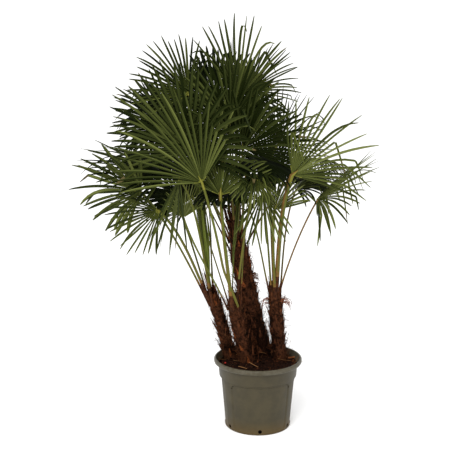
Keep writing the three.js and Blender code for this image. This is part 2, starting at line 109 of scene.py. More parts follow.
def fractal(points: np.ndarray, size: float, octaves: int, seed: int) -> np.ndarray:
    """Finds smooth, cloudy noise at points.

    Args:
        points: Any grid of points in millimetres.
        size: The largest lumps' size in millimetres.
        octaves: How many finer layers are added, each half as large and strong.
        seed: A shift of the pattern.

    Returns:
        About -1 to 1 for each point of the grid.
    """
    shift = Vector((seed * 17.3, seed * 5.1, seed * 9.7))
    values = [noise.fractal(Vector(p) / size + shift, 1.0, 2.0, octaves) for p in points.reshape(-1, 3)]
    return np.array(values).reshape(points.shape[:-1])


@dataclass
class Bezier:
    """A Bezier curve of any degree through its control points."""

    controls: np.ndarray

    def point(self, share: float) -> Point:
        """Finds a point on the curve.

        Args:
            share: From 0 at the start to 1 at the end.

        Returns:
            The point.
        """
        points = self.controls
        while len(points) > 1:
            points = points[:-1] * (1 - share) + points[1:] * share
        return points[0]

    def tangent(self, share: float) -> Point:
        """Returns the unit tangent at a share of the curve."""
        low, high = max(share - 1e-3, 0.0), min(share + 1e-3, 1.0)
        return unit(self.point(high) - self.point(low))


# ---- finishes


def linear(hex_colour: str) -> tuple[float, float, float, float]:
    """Turns six hex digits of sRGB into linear red, green and blue and an alpha of 1."""
    values = [int(hex_colour[k : k + 2], 16) / 255 for k in (0, 2, 4)]
    return (*(v / 12.92 if v <= 0.04045 else ((v + 0.055) / 1.055) ** 2.4 for v in values), 1.0)


def add_node(
    tree: Tree, kind: str, *sources: object, first: int = 0, out: int | str = 0, **settings: object
) -> Socket:
    """Adds a node with its settings and links.

    Args:
        tree: The tree to add it to.
        kind: The node's type, such as "ShaderNodeTexNoise".
        *sources: What its inputs take in order: an output's socket to link, or a value.
        first: The number of the input where those start.
        out: The output that is wanted.
        **settings: The node's own settings by their lower-case names, and what its other inputs
            take by their capitalised names, with "_" for a space.

    Returns:
        The wanted output.
    """
    node = tree.nodes.new(kind)
    taken = dict(enumerate(sources, first))
    for name, value in settings.items():
        if name[0].islower():
            setattr(node, name, value)
        else:
            taken[name.replace("_", " ")] = value
    for name, value in taken.items():
        if isinstance(value, Socket):
            tree.links.new(value, node.inputs[name])
        else:
            node.inputs[name].default_value = value
    return node.outputs[out]


@dataclass(frozen=True)
class Finish:
    """One surface: a base colour with an optional mottle, film of soil and fine relief.

    The patterns are in real millimetres on object coordinates. `film_mm` is the film's height.
    """

    name: str
    colour: str
    roughness: float
    specular: float = 0.5
    second: str = ""
    mottle_mm: float = 0.0
    relief_mm: float = 0.0
    relief_depth_mm: float = 0.0
    film: str = ""
    film_mm: float = 0.0
    film_patch_mm: float = 45.0
    film_share: float = 0.42
    edges: Pair = (0.4, 0.6)

    def material(self) -> bpy.types.Material:
        """Makes the material.

        Returns:
            The material, or the one already made for this finish.
        """
        if self.name in bpy.data.materials:
            return bpy.data.materials[self.name]
        made = bpy.data.materials.new(self.name)
        made.use_nodes = True
        made.diffuse_color = linear(self.colour)
        surface = made.node_tree.nodes["Principled BSDF"].inputs
        surface["Base Color"].default_value = linear(self.colour)
        surface["Roughness"].default_value = self.roughness
        surface["Specular IOR Level"].default_value = self.specular
        if self.mottle_mm or self.relief_mm:
            self.lay_patterns(made.node_tree, surface)
        return made

    def lay_patterns(self, tree: Tree, surface: bpy.types.NodeInputs) -> None:
        """Adds the mottle, the film and the relief.

        Args:
            tree: The material's tree.
            surface: The shader's inputs.
        """
        place = add_node(tree, "ShaderNodeTexCoord", out="Object")
        if self.mottle_mm:
            scale = 1 / (self.mottle_mm * MM)
            cloud = add_node(tree, "ShaderNodeTexNoise", Vector=place, Scale=scale, Detail=5.0, Roughness=0.6)
            colour = add_node(tree, "ShaderNodeValToRGB", cloud)
            stops = colour.node.color_ramp.elements
            for stop, edge, shown in zip(stops, self.edges, (self.colour, self.second)):
                stop.position = edge
                stop.color = linear(shown)
            if self.film:
                colour = self.lay_film(tree, place, colour)
            tree.links.new(colour, surface["Base Color"])
        if self.relief_mm:
            scale = 1 / (self.relief_mm * MM)
            grain = add_node(tree, "ShaderNodeTexNoise", Vector=place, Scale=scale, Detail=3.0)
            depth = self.relief_depth_mm * MM
            bump = add_node(tree, "ShaderNodeBump", Strength=0.7, Distance=depth, Height=grain)
            tree.links.new(bump, surface["Normal"])

    def lay_film(self, tree: Tree, place: Socket, under: Socket) -> Socket:
        """Lays a film of dried soil over the colour, thick at the foot and patchy above it.

        Args:
            tree: The material's tree.
            place: The object coordinates.
            under: The colour.

        Returns:
            The colour with the film over it.
        """
        height = add_node(tree, "ShaderNodeSeparateXYZ", place, out="Z")
        fade = {"From_Max": self.film_mm * MM, "To_Min": self.film_share, "To_Max": 0.0}
        amount = add_node(tree, "ShaderNodeMapRange", height, **fade)
        scale = 1 / (self.film_patch_mm * MM)
        patch = add_node(tree, "ShaderNodeTexNoise", Vector=place, Scale=scale, Detail=4.0)
        mixed = {"operation": "MULTIPLY_ADD", "use_clamp": True}
        patchy = add_node(tree, "ShaderNodeMath", amount, patch, amount, **mixed)
        over = linear(self.film)
        return add_node(
            tree, "ShaderNodeMix", under, over, first=6, out=2, data_type="RGBA", Factor=patchy
        )


class Tone(Enum):
    """The colours of a frond's upper faces and undersides, from the crown's heart to its rim: partly their
    own, partly painted light, the darkest standing in for the shade deep in the crown and the palest for
    light and sheen on its rim.
    """

    HEART = ("0A1002", "121804")
    DEEP = ("20270B", "282E12")
    GREEN = ("323814", "3D431E")
    FRESH = ("4A5023", "565C2E")
    PALE = ("5E6338", "6A6F44")
    YOUNG = ("626C2C", "767E3C")

    def finishes(self) -> list[Finish]:
        """Returns the waxy upper face's finish and the paler, duller underside's."""
        looks = zip(("upper", "underside"), self.value, (0.5, 0.65), (0.05, 0.02))
        return [Finish(f"palm leaf {face} {self.name.lower()}", *look) for face, *look in looks]


# Pressed peat and bark fines: near black when moist, dull, with reddish fibres in it.
SOIL_MIX = Finish("moist potting soil", "0B0503", 0.95, 0.04, "22110A", 14, 3, 2.5)
SOIL_DARK_AND_PAINTED_SHADE = Finish("wet potting soil", "050302", 0.95, 0.02)
# Near black: dark bits among the crumbs, and painted shade on the mix's hidden sides, seen through the drain
# holes.
SOIL_CRUMB = Finish("peat crumb", "341A0E", 0.95, 0.05, "100704", 9)
BARK_BIT = Finish("composted bark", "5A3019", 0.85, 0.06, "2C160C", 9)
SOIL_STRAW = Finish("coir straw in soil", "5E3A20", 0.85, 0.1)
PALE_STRAW = Finish("pale straw on soil", "946A42", 0.8, 0.1)
WOOD_CHIP = Finish("weathered wood chip", "98592A", 0.75, 0.15, "6B3C1A", 12)
RED_FLECK = Finish("red plastic fleck", "B0261C", 0.5, 0.3)

# Leaf-base fibre: coarse brown burlap that the palm weaves round its own trunk.
BARK_MAT = Finish("woven palm fibre mat", "1A0D07", 0.95, 0.04, "46291A", 16, 2.2, 2.0)
# Darker mat: damp patches at random, and painted shade on each trunk's shaded side.
BARK_DAMP_AND_PAINTED_SHADE = Finish("damp palm fibre mat", "0C0502", 0.9, 0.04, "24120A", 16, 2.2, 2.0)
BARK_FIBRE = Finish("palm trunk fibre", "54301C", 0.85, 0.04)
# The dark fibre is dealt at random, and more of it where the trunk's mat is marked for painted shade.
BARK_FIBRE_DARK = Finish("dark palm trunk fibre", "180C06", 0.9, 0.03)
BARK_FIBRE_PALE = Finish("bleached palm trunk fibre", "6A462C", 0.85, 0.06)
TUFT_FIBRE = Finish("frayed leaf sheath fibre", "7A4022", 0.8, 0.06)
OLD_BOOT = Finish("cut leaf base, weathered", "22110A", 0.9, 0.04, "55311D", 18, 2.5, 1.0)
FRESH_BOOT = Finish("cut leaf base, orange brown", "8C4A24", 0.85, 0.06, "4A2815", 9, 2.5, 0.8)

# Leaf stalks: smooth, waxy and hard, brown and fibrous where they clasp the trunk.
STALK_BROWN = Finish("leaf stalk base brown", "482815", 0.75, 0.06, "221109", 18)
STALK_TAN = Finish("leaf stalk tan flank", "6E5029", 0.6, 0.08, "58481F", 26)
STALK_OLIVE = Finish("leaf stalk olive", "565322", 0.5, 0.08)
STALK_GREEN = Finish("leaf stalk green", "50541F", 0.5, 0.08)
STALK_YELLOW = Finish("leaf stalk yellow neck", "6C6A28", 0.5, 0.08)
STALK_BARB = Finish("stalk margin barb", "54401F", 0.6, 0.1)
LEAF_HUB = Finish("leaf hub yellow green", "646628", 0.5, 0.06)
LEAF_STRAW = Finish("dry leaflet tip", "50472A", 0.7, 0.1)

# Polypropylene blow-moulded from regrind: grey-green, satin, faintly speckled and scuffed.
POT_PLASTIC = Finish(
    "moulded polypropylene pot", "3A3527", 0.5, 0.16, "403A2A", 60, 1.6, 0.12, film="52401F", film_mm=85
)
# The rim is a little lighter than the body: scuffs, and a painted highlight along the lip.
POT_RIM_SCUFFS_AND_HIGHLIGHT = Finish("scuffed polypropylene rim", "3F3A2B", 0.42, 0.2, "4C473A", 22, 1.2, 0.15)
# Painted shade: the dark line in the groove where the panels' tops meet the collar.
POT_PAINTED_SHADE_CREASE = Finish("grime in the pot's moulded creases", "211D14", 0.7, 0.08, "2C271B", 9)


# ---- making pieces


def linked(name: str, data: bpy.types.ID) -> Piece:
    """Puts a mesh, lamp or camera into the scene.

    Args:
        name: The object's name.
        data: The mesh, lamp or camera.

    Returns:
        Its object, at the origin.
    """
    piece = bpy.data.objects.new(name, data)
    bpy.context.scene.collection.objects.link(piece)
    return piece


class MeshBuilder:
    """Gathers the points and faces of many small shapes and makes one object of them."""

    def __init__(self) -> None:
        """Starts with nothing in it."""
        self.points: list[np.ndarray] = []
        self.faces: list[list[int]] = []
        self.slots: list[int] = []
        self.count = 0

    def tube(self, rings: Sequence[Point], slots: int | Sequence[int]) -> None:
        """Adds a closed skin through a row of rings.

        Args:
            rings: Rings by sides by 3, in millimetres, each ring turning the same way.
            slots: One material slot, or one for each face between rings.
        """
        grid = np.asarray(rings, dtype=float)
        steps, sides = grid.shape[:2]
        low = self.count + np.arange(sides)
        high = self.count + (np.arange(sides) + 1) % sides
        starts = np.arange(steps - 1) * sides
        row = np.stack([low, high, high + sides, low + sides], axis=1)
        dealt = [slots] * (sides * len(starts)) if isinstance(slots, int) else list(slots)
        self.faces += (row[None] + starts[:, None, None]).reshape(-1, 4).tolist()
        self.faces += [low[::-1].tolist(), (low + sides * len(starts)).tolist()]
        self.slots += [*dealt, dealt[0], dealt[-1]]
        self.points.append(grid.reshape(-1, 3) * MM)
        self.count += steps * sides

    def build(self, name: str, finishes: Sequence[Finish], smooth: float | None = None) -> Piece:
        """Makes the object.

        Args:
            name: Its name.
            finishes: The finish of each material slot.
            smooth: The angle in degrees under which edges are smooth, or None for flat faces.

        Returns:
            The object.
        """
        mesh = bpy.data.meshes.new(name)
        mesh.from_pydata(np.concatenate(self.points).tolist(), [], self.faces)
        for finish in finishes:
            mesh.materials.append(finish.material())
        mesh.polygons.foreach_set("material_index", self.slots)
        if smooth is not None:
            mesh.shade_smooth()
            mesh.set_sharp_from_angle(angle=math.radians(smooth))
        mesh.update()
        return linked(name, mesh)


def evaluated(piece: Piece) -> bpy.types.Mesh:
    """Makes a plain mesh of an object as its modifier shapes it, and takes the modifier off.

    Args:
        piece: The object.

    Returns:
        The mesh.
    """
    piece.update_tag()
    bpy.context.view_layer.update()
    graph = bpy.context.evaluated_depsgraph_get()
    mesh = bpy.data.meshes.new_from_object(piece.evaluated_get(graph), depsgraph=graph)
    piece.modifiers.clear()
    return mesh


def guide_of(name: str, spots: np.ndarray, edges: Sequence[tuple[int, int]], **vectors: np.ndarray) -> Piece:
    """Makes an object of points or lines for shapes to grow on.

    Args:
        name: Its name.
        spots: Its points in metres.
        edges: The pairs of points that are joined.
        **vectors: A vector for each point, by the attribute's name.

    Returns:
        The guide.
    """
    mesh = bpy.data.meshes.new(name)
    mesh.from_pydata(spots.tolist(), edges, [])
    for label, values in vectors.items():
        layer = mesh.attributes.new(label, "FLOAT_VECTOR", "POINT")
        layer.data.foreach_set("vector", values.astype(np.float32).ravel())
    return linked(name, mesh)


def grow(guide: Piece, tree: Tree, name: str, **settings: object) -> Piece:
    """Runs a geometry tree on a guide and keeps the plain mesh that it makes.

    Args:
        guide: The object that the shapes are grown on.
        tree: The tree.
        name: The new object's name.
        **settings: Each input's value by its name with "_" for a space; a finish gives its material.

    Returns:
        The object made.
    """
    modifier = guide.modifiers.new("growth", "NODES")
    modifier.node_group = tree
    for item in tree.interface.items_tree:
        value = settings.get(item.name.replace(" ", "_"))
        if item.in_out == "INPUT" and value is not None:
            modifier[item.identifier] = value.material() if isinstance(value, Finish) else value
    mesh = evaluated(guide)
    mesh.name = name
    for layer in [a for a in mesh.attributes if a.name in ("way", "size", "damp")]:
        mesh.attributes.remove(layer)
    return linked(name, mesh)


def settle(slot: str, nodes: Sequence[str], *pieces: Piece) -> None:
    """Hands finished pieces to the frame and reports them.

    Args:
        slot: The record's material slot; not used.
        nodes: The solids that they stand for.
        *pieces: The finished objects.
    """
    for piece in pieces:
        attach(piece, ROOT_BODY)
        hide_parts(*nodes)
        LOG.info("%s: %d triangles", piece.name, sum(len(p.vertices) - 2 for p in piece.data.polygons))


# ---- growing repeated shapes


class Growth:
    """A geometry tree in the making, with a seed and two finishes among its named inputs."""

    DRAWS = {"FLOAT_VECTOR": (0, 0), "FLOAT": (2, 1), "BOOLEAN": (6, 3)}

    def __init__(self, name: str, *numbers: str, **others: str) -> None:
        """Starts the tree.

        Args:
            name: The tree's name.
            *numbers: The names of its own number inputs.
            **others: Inputs of another kind, such as "Object".
        """
        self.tree = bpy.data.node_groups.new(name, "GeometryNodeTree")
        kinds = {"Geometry": "Geometry", **dict.fromkeys(numbers, "Float"), **others}
        kinds |= {"Seed": "Int", "Finish": "Material", "Second Finish": "Material", "Second Share": "Float"}
        for label, kind in kinds.items():
            self.tree.interface.new_socket(label, in_out="INPUT", socket_type=f"NodeSocket{kind}")
        self.tree.interface.new_socket("Geometry", in_out="OUTPUT", socket_type="NodeSocketGeometry")
        self.given = self.tree.nodes.new("NodeGroupInput").outputs

    def add(self, kind: str, *sources: object, **settings: object) -> Socket:
        """Adds a geometry node; the arguments are add_node's."""
        return add_node(self.tree, f"GeometryNode{kind}", *sources, **settings)

    def work(self, kind: str, *sources: object, **settings: object) -> Socket:
        """Adds a node that works on numbers, vectors or turns; the arguments are add_node's."""
        return add_node(self.tree, kind, *sources, **settings)

    def number(self, operation: str, *sources: object) -> Socket:
        """Works a sum on numbers, such as "ADD"."""
        return self.work("ShaderNodeMath", *sources, operation=operation)

    def scaled(self, vector: Socket, factor: Socket | float) -> Socket:
        """Scales a vector."""
        return self.work("ShaderNodeVectorMath", vector, operation="SCALE", Scale=factor)

    def summed(self, first: Socket, second: Socket) -> Socket:
        """Adds two vectors."""
        return self.work("ShaderNodeVectorMath", first, second, operation="ADD")

    def ranged(self, share: Socket, low: Socket | float, high: Socket | float) -> Socket:
        """Goes from low to high as a share goes from 0 to 1."""
        return self.work("ShaderNodeMapRange", share, To_Min=low, To_Max=high)

    def vector(self, *parts: Socket | float) -> Socket:
        """Makes a vector of its parts."""
        return self.work("ShaderNodeCombineXYZ", *parts)

    def named(self, name: str, kind: str = "FLOAT_VECTOR") -> Socket:
        """Reads an attribute of the geometry."""
        return self.add("InputNamedAttribute", data_type=kind, Name=name)

    def aimed(self, axis: str, way: Socket, **settings: object) -> Socket:
        """Turns an axis to a way."""
        return self.work("FunctionNodeAlignRotationToVector", Vector=way, axis=axis, **settings)

    def drawn(self, kind: str, offset: int, *limits: object) -> Socket:
        """Draws a value for each point.

        Args:
            kind: FLOAT, FLOAT_VECTOR or BOOLEAN.
            offset: What is added to the seed, so that each use has its own numbers.
            *limits: The least and the greatest value, or the chance of true.

        Returns:
            The value.
        """
        first, out = self.DRAWS[kind]
        seed = self.number("ADD", self.given["Seed"], offset)
        settings = {"first": first, "out": out, "data_type": kind, "Seed": seed}
        return self.work("FunctionNodeRandomValue", *limits, **settings)

    def end(self, points: Socket, shape: Socket, turn: Socket, size: Socket, mixed: bool = True) -> Tree:
        """Sets a shape at points, makes the copies real and gives each its finish.

        Args:
            points: Where the copies go.
            shape: The shape.
            turn: Each copy's rotation.
            size: Each copy's scale.
            mixed: Whether the second finish goes to its share of the copies, and to more of them
            where the surface's mark of damp patches and painted shade is higher.

        Returns:
            The finished tree.
        """
        copies = self.add("InstanceOnPoints", points, Instance=shape, Rotation=turn, Scale=size)
        if mixed:
            # More copies take the dark second finish where the surface is marked with damp patches and
            # painted shade.
            share = self.number("MAXIMUM", self.named("damp", "FLOAT"), self.given["Second Share"])
            second = self.drawn("BOOLEAN", 9, share)
            mark = {"data_type": "BOOLEAN", "domain": "INSTANCE", "Name": "second", "Value": second}
            copies = self.add("StoreNamedAttribute", copies, **mark)
        real = self.add("RealizeInstances", copies)
        real = self.add("SetMaterial", real, Material=self.given["Finish"])
        if mixed:
            second = self.named("second", "BOOLEAN")
            real = self.add("SetMaterial", real, second, Material=self.given["Second Finish"])
        self.tree.links.new(real, self.tree.nodes.new("NodeGroupOutput").inputs[0])
        return self.tree


def barb_tree() -> Tree:
    """Makes the tree that sets small hooked teeth along a stalk's margins.

    Returns:
        The tree.
    """
    tree = Growth("margin barbs", "Pitch", "Length")
    line = tree.add("MeshToCurve", tree.given["Geometry"])
    spots = tree.add("ResampleCurve", line, mode="LENGTH", Length=tree.given["Pitch"])
    tooth = tree.add("MeshCone", Vertices=4, Radius_Top=0.0, Radius_Bottom=0.35, Depth=1.0)
    size = tree.number("MULTIPLY", tree.drawn("FLOAT", 0, 0.6, 1.3), tree.given["Length"])
    return tree.end(spots, tooth, tree.aimed("Z", tree.named("way")), size, mixed=False)


def shapes_tree() -> Tree:
    """Makes the tree that sets copies of one shape at points, aimed and sized by their attributes.

    Returns:
        The tree.
    """
    tree = Growth("shapes at points", Shape="Object")
    shape = tree.add("ObjectInfo", tree.given["Shape"], out="Geometry")
    upright = tree.aimed("Z", tree.named("way"))
    faced = tree.aimed("X", tree.named("face"), pivot_axis="Z", Rotation=upright)
    return tree.end(tree.given["Geometry"], shape, faced, tree.named("size"))


@dataclass(frozen=True)
class Strewn:
    """Small shapes strewn over a surface, in two finishes; the density is for a square metre."""

    name: str
    density: float
    seed: int
    finish: Finish
    second_finish: Finish
    second_share: float

    LENGTHS = ("smallest", "largest", "shortest", "longest", "thickness")

    def strew(self, surface: Piece, stem: str = "", crowding: float = 1.0, shift: int = 0) -> Piece:
        """Strews them, by the tree whose inputs are named as the fields are.

        Args:
            surface: The object they lie on.
            stem: What their name starts with.
            crowding: A factor on their density.
            shift: What is added to their seed.

        Returns:
            Their object.
        """
        given = {item.name.title(): getattr(self, item.name) for item in fields(self)}
        given |= {name.title(): getattr(self, name) * MM for name in self.LENGTHS if hasattr(self, name)}
        given |= {"Density": float(self.density * crowding), "Seed": self.seed + shift}
        return grow(surface, self.tree(), stem + self.name, **given)


@dataclass(frozen=True)
class Crumbs(Strewn):
    """Small lumps that lie on the upward faces only."""

    smallest: float
    largest: float

    def tree(self) -> Tree:
        """Makes the lumps' tree.

        Returns:
            The tree.
        """
        tree = Growth("crumbs on a surface", "Density", "Smallest", "Largest")
        given = tree.given
        rise = tree.work("ShaderNodeSeparateXYZ", tree.add("InputNormal"), out="Z")
        where = {"Selection": tree.number("GREATER_THAN", rise, 0.4), "Density": given["Density"]}
        spots = tree.add("DistributePointsOnFaces", given["Geometry"], Seed=given["Seed"], **where)
        lump = tree.add("MeshIcoSphere", Radius=0.5, Subdivisions=1)
        tumble = tree.scaled(tree.drawn("FLOAT_VECTOR", 4, (-1, -1, -1), (1, 1, 1)), 3.2)
        turn = tree.work("FunctionNodeEulerToRotation", tumble)
        share = tree.number("POWER", tree.drawn("FLOAT", 5, 0.0, 1.0), 2.5)
        size = tree.ranged(share, given["Smallest"], given["Largest"])
        return tree.end(spots, lump, turn, tree.scaled(tree.vector(1.0, 0.7, 0.45), size))


@dataclass(frozen=True)
class Strands(Strewn):
    """Curved strands: `lift` stands them off the surface, `rise` lays them upwards, `stray` any way."""

    shortest: float
    longest: float
    thickness: float
    curl: float
    lift: float
    rise: float
    stray: float
    bends: int = 4

    def tree(self) -> Tree:
        """Makes the strands' tree.

        Returns:
            The tree.
        """
        numbers = ("Density", "Shortest", "Longest", "Thickness", "Curl", "Lift", "Rise", "Stray")
        tree = Growth("strands on a surface", *numbers)
        given = tree.given
        where = {"Density": given["Density"], "Seed": given["Seed"]}
        spots = tree.add("DistributePointsOnFaces", given["Geometry"], **where)
        normal = spots.node.outputs["Normal"]
        bend = tree.vector(given["Curl"], 0.0, 0.5)
        arc = tree.add("CurveQuadraticBezier", self.bends, (0, 0, 0), bend, (0, 0, 1))
        taper = tree.ranged(tree.add("SplineParameter"), 1.0, 0.3)
        arc = tree.add("SetCurveRadius", arc, Radius=taper)
        section = tree.add("CurvePrimitiveCircle", Resolution=3, Radius=given["Thickness"])
        strand = tree.add("CurveToMesh", arc, Profile_Curve=section, Fill_Caps=True)
        stray = tree.scaled(tree.drawn("FLOAT_VECTOR", 1, (-1, -1, -1), (1, 1, 1)), given["Stray"])
        loose = tree.summed(tree.vector(0.0, 0.0, given["Rise"]), stray)
        off = tree.work("ShaderNodeVectorMath", loose, normal, out="Value", operation="DOT_PRODUCT")
        flattened = tree.summed(loose, tree.scaled(tree.scaled(normal, off), -0.9))
        way = tree.summed(flattened, tree.scaled(normal, given["Lift"]))
        roll = tree.vector(0.0, 0.0, tree.drawn("FLOAT", 2, 0.0, 2 * math.pi))
        roll = tree.work("FunctionNodeEulerToRotation", roll)
        upright = tree.aimed("Z", way)
        turn = tree.work("FunctionNodeRotateRotation", upright, roll, rotation_space="LOCAL")
        length = tree.ranged(tree.drawn("FLOAT", 3, 0.0, 1.0), given["Shortest"], given["Longest"])
        return tree.end(spots, strand, turn, tree.vector(length, 1.0, length))


# ---- the plant's rule


@dataclass
class Stem:
    """One trunk: where it stands, how it leans, how it tapers, and where its leaf stalks leave it.

    `bow` is how far its middle stands aside, `flare` the foot's added radius, `crown` the point that
    its fronds aim from, and `unruly` how wayward their leaflets are.
    """

    name: str
    foot: Pair
    top: Triple
    bow: Pair
    foot_radius: float
    waist_radius: float
    neck_radius: float
    flare: float
    crown: Triple
    crown_depth: float
    unruly: float = 1.0
    foot_height: float = 332.0
    flare_height: float = 55.0
    neck_share: float = 0.7
    base_width: float = 28.0
    base_height: float = 36.0
    seats: list[Pair] = field(default_factory=list)

    def __post_init__(self) -> None:
        """Draws the axis from the foot in the soil to the top."""
        foot, top = np.array([*self.foot, self.foot_height]), np.array(self.top, dtype=float)
        middle = (foot + top) / 2 + 2 * np.array([*self.bow, 0.0])
        self.axis = Bezier(np.array([foot, middle, top]))
        self.height = top[2] - foot[2]

    def share(self, height: float) -> float:
        """Returns how far up the axis a height is, from 0 at the foot to 1 at the top."""
        return float(np.clip((height - self.foot_height) / self.height, 0.0, 1.0))

    def radius(self, share: float) -> float:
        """Finds the trunk's mean radius.

        Args:
            share: From 0 at the foot to 1 at the top.

        Returns:
            Millimetres.
        """
        rise = min(share / self.neck_share, 1.0)
        body = self.foot_radius + (self.waist_radius - self.foot_radius) * rise
        neck = float(smoothstep(share, self.neck_share, 1.0))
        flare = self.flare * math.exp(-share * self.height / self.flare_height)
        return body + (self.neck_radius - body) * neck + flare

    def surface(self, share: float, out: Point, inside: float = 0.0) -> Point:
        """Returns the point of the trunk's surface, or one inside it, on its way outwards."""
        return self.axis.point(share) + out * (self.radius(share) - inside)

    def crowded(self, heading: float, height: float) -> bool:
        """Tells whether a stalk's base would lie on one that is already there.

        Args:
            heading: The stalk's compass heading in degrees.
            height: Millimetres above the pot's underside.

        Returns:
            Whether it would.
        """
        for other_heading, other_height in self.seats:
            apart = abs((heading - other_heading + 540) % 360 - 180)
            across = math.radians(apart) * (self.neck_radius + 10)
            if across < self.base_width and abs(height - other_height) < self.base_height:
                return True
        return False

    def seat(self, heading: float, lean: float, closed: bool) -> float:
        """Finds the height at which a stalk leaves the crown, clear of the bases already there.

        Args:
            heading: The stalk's compass heading in degrees.
            lean: Its lean from upright in degrees.
            closed: Whether it is an unopened leaf, which stands on the trunk's tip.

        Returns:
            Millimetres above the pot's underside.
        """
        if closed:
            return self.top[2]
        height = self.top[2] - 20 - self.crown_depth * min(lean / 60, 1.0)
        while self.crowded(heading, height):
            height -= 4
        self.seats.append((heading, height))
        return height


@dataclass
class Frond:
    """One frond: the way its stalk goes, how its blade lies on it, and how its leaflets are dealt.

    The lengths of `stalk` and `blade` are millimetres; every angle is in degrees. `turn` swings the
    blade sideways, `twist` rolls it, `spread` is half the angle that its leaflets open to, `limp` the
    share of leaflets whose ends are snapped and hang, `heavy` what is added to it at the blade's
    +side, `arched` the share of leaflets which arch over, `joined` that of the blade's length over
    which they are one web, and `sag` how far their ends bend down, which `stiff` keeps the middle
    ones from. `slim` is the share of their width that stands open between them, and `widest` that of
    the blade's length where they are widest. `girth` widens the stalk, `bundle` is an unopened leaf's
    half-width, `streaked` the chance of a tan flank along the stalk, `sheath` the share of it that
    its brown base takes where that isn't left to chance, and `drop` how many millimetres its foot
    runs on down the trunk, to a point.
    """

    stem: Stem
    seed: int
    heading: float
    lean: float
    stalk: float
    nod: float
    blade: float
    turn: float = 0.0
    twist: float = 0.0
    spread: float = 110.0
    limp: float = 0.07
    arched: float = 0.12
    joined: float = 0.37
    tone: int = 2
    pitch: float = 6.0
    sag: float = 0.12
    unruly: float = 0.0
    slim: float = 0.08
    widest: float = 0.38
    girth: float = 1.0
    bundle: float = 11.0
    streaked: float = 0.3
    stiff: float = 0.0
    sheath: float = 0.0
    heavy: float = 0.0
    drop: float = 0.0
    cup: float = 0.16
    straightness: float = 0.75
    nod_share: float = 0.3
    handle_share: float = 0.3
    clasp: float = 34.0

    def __post_init__(self) -> None:
        """Works out where the hub is and which ways the blade faces."""
        way = self.heading + self.turn
        self.closed = self.spread < 20
        self.unruly = self.unruly or self.stem.unruly
        self.hub = np.array(self.stem.crown) + self.stalk * direction(self.heading, self.lean)
        self.axis = direction(way, self.lean + self.nod)
        self.side = rolled(np.cross(UP, direction(way, 90)), self.axis, math.radians(self.twist))
        self.face = np.cross(self.axis, self.side)
        self.count = round(self.bundle * 1.2) if self.closed else round(2 * self.spread / self.pitch)
        self.lay_stalk()

    def lay_stalk(self) -> None:
        """Draws the stalk from the trunk's crown to the hub, where it meets the blade."""
        stem = self.stem
        share = stem.share(stem.seat(self.heading, self.lean, self.closed))
        self.up = stem.axis.tangent(share)
        self.across = np.cross(UP, direction(self.heading, 90))
        self.out = unit(np.cross(self.across, self.up))
        foot = stem.axis.point(share)
        if not self.closed:
            foot = foot + self.out * (stem.radius(max(share - self.clasp / stem.height, 0)) - 1)
        straight = unit(self.hub - foot)
        reach = float(np.linalg.norm(foot - self.hub)) * self.handle_share
        leave = unit(self.up + (straight - self.up) * self.straightness)
        arrive = unit(straight + (self.axis - straight) * self.nod_share)
        self.path = Bezier(np.array([foot, foot + leave * reach, self.hub - arrive * reach, self.hub]))

    def ray(self, angle: float) -> Point:
        """Returns the blade's way at radians from its axis, bent back a little where that is wide."""
        cos, sin = math.cos(angle), math.sin(angle)
        return unit(self.axis * cos + self.side * sin - self.face * self.cup * (1 - cos))


# ---- foliage


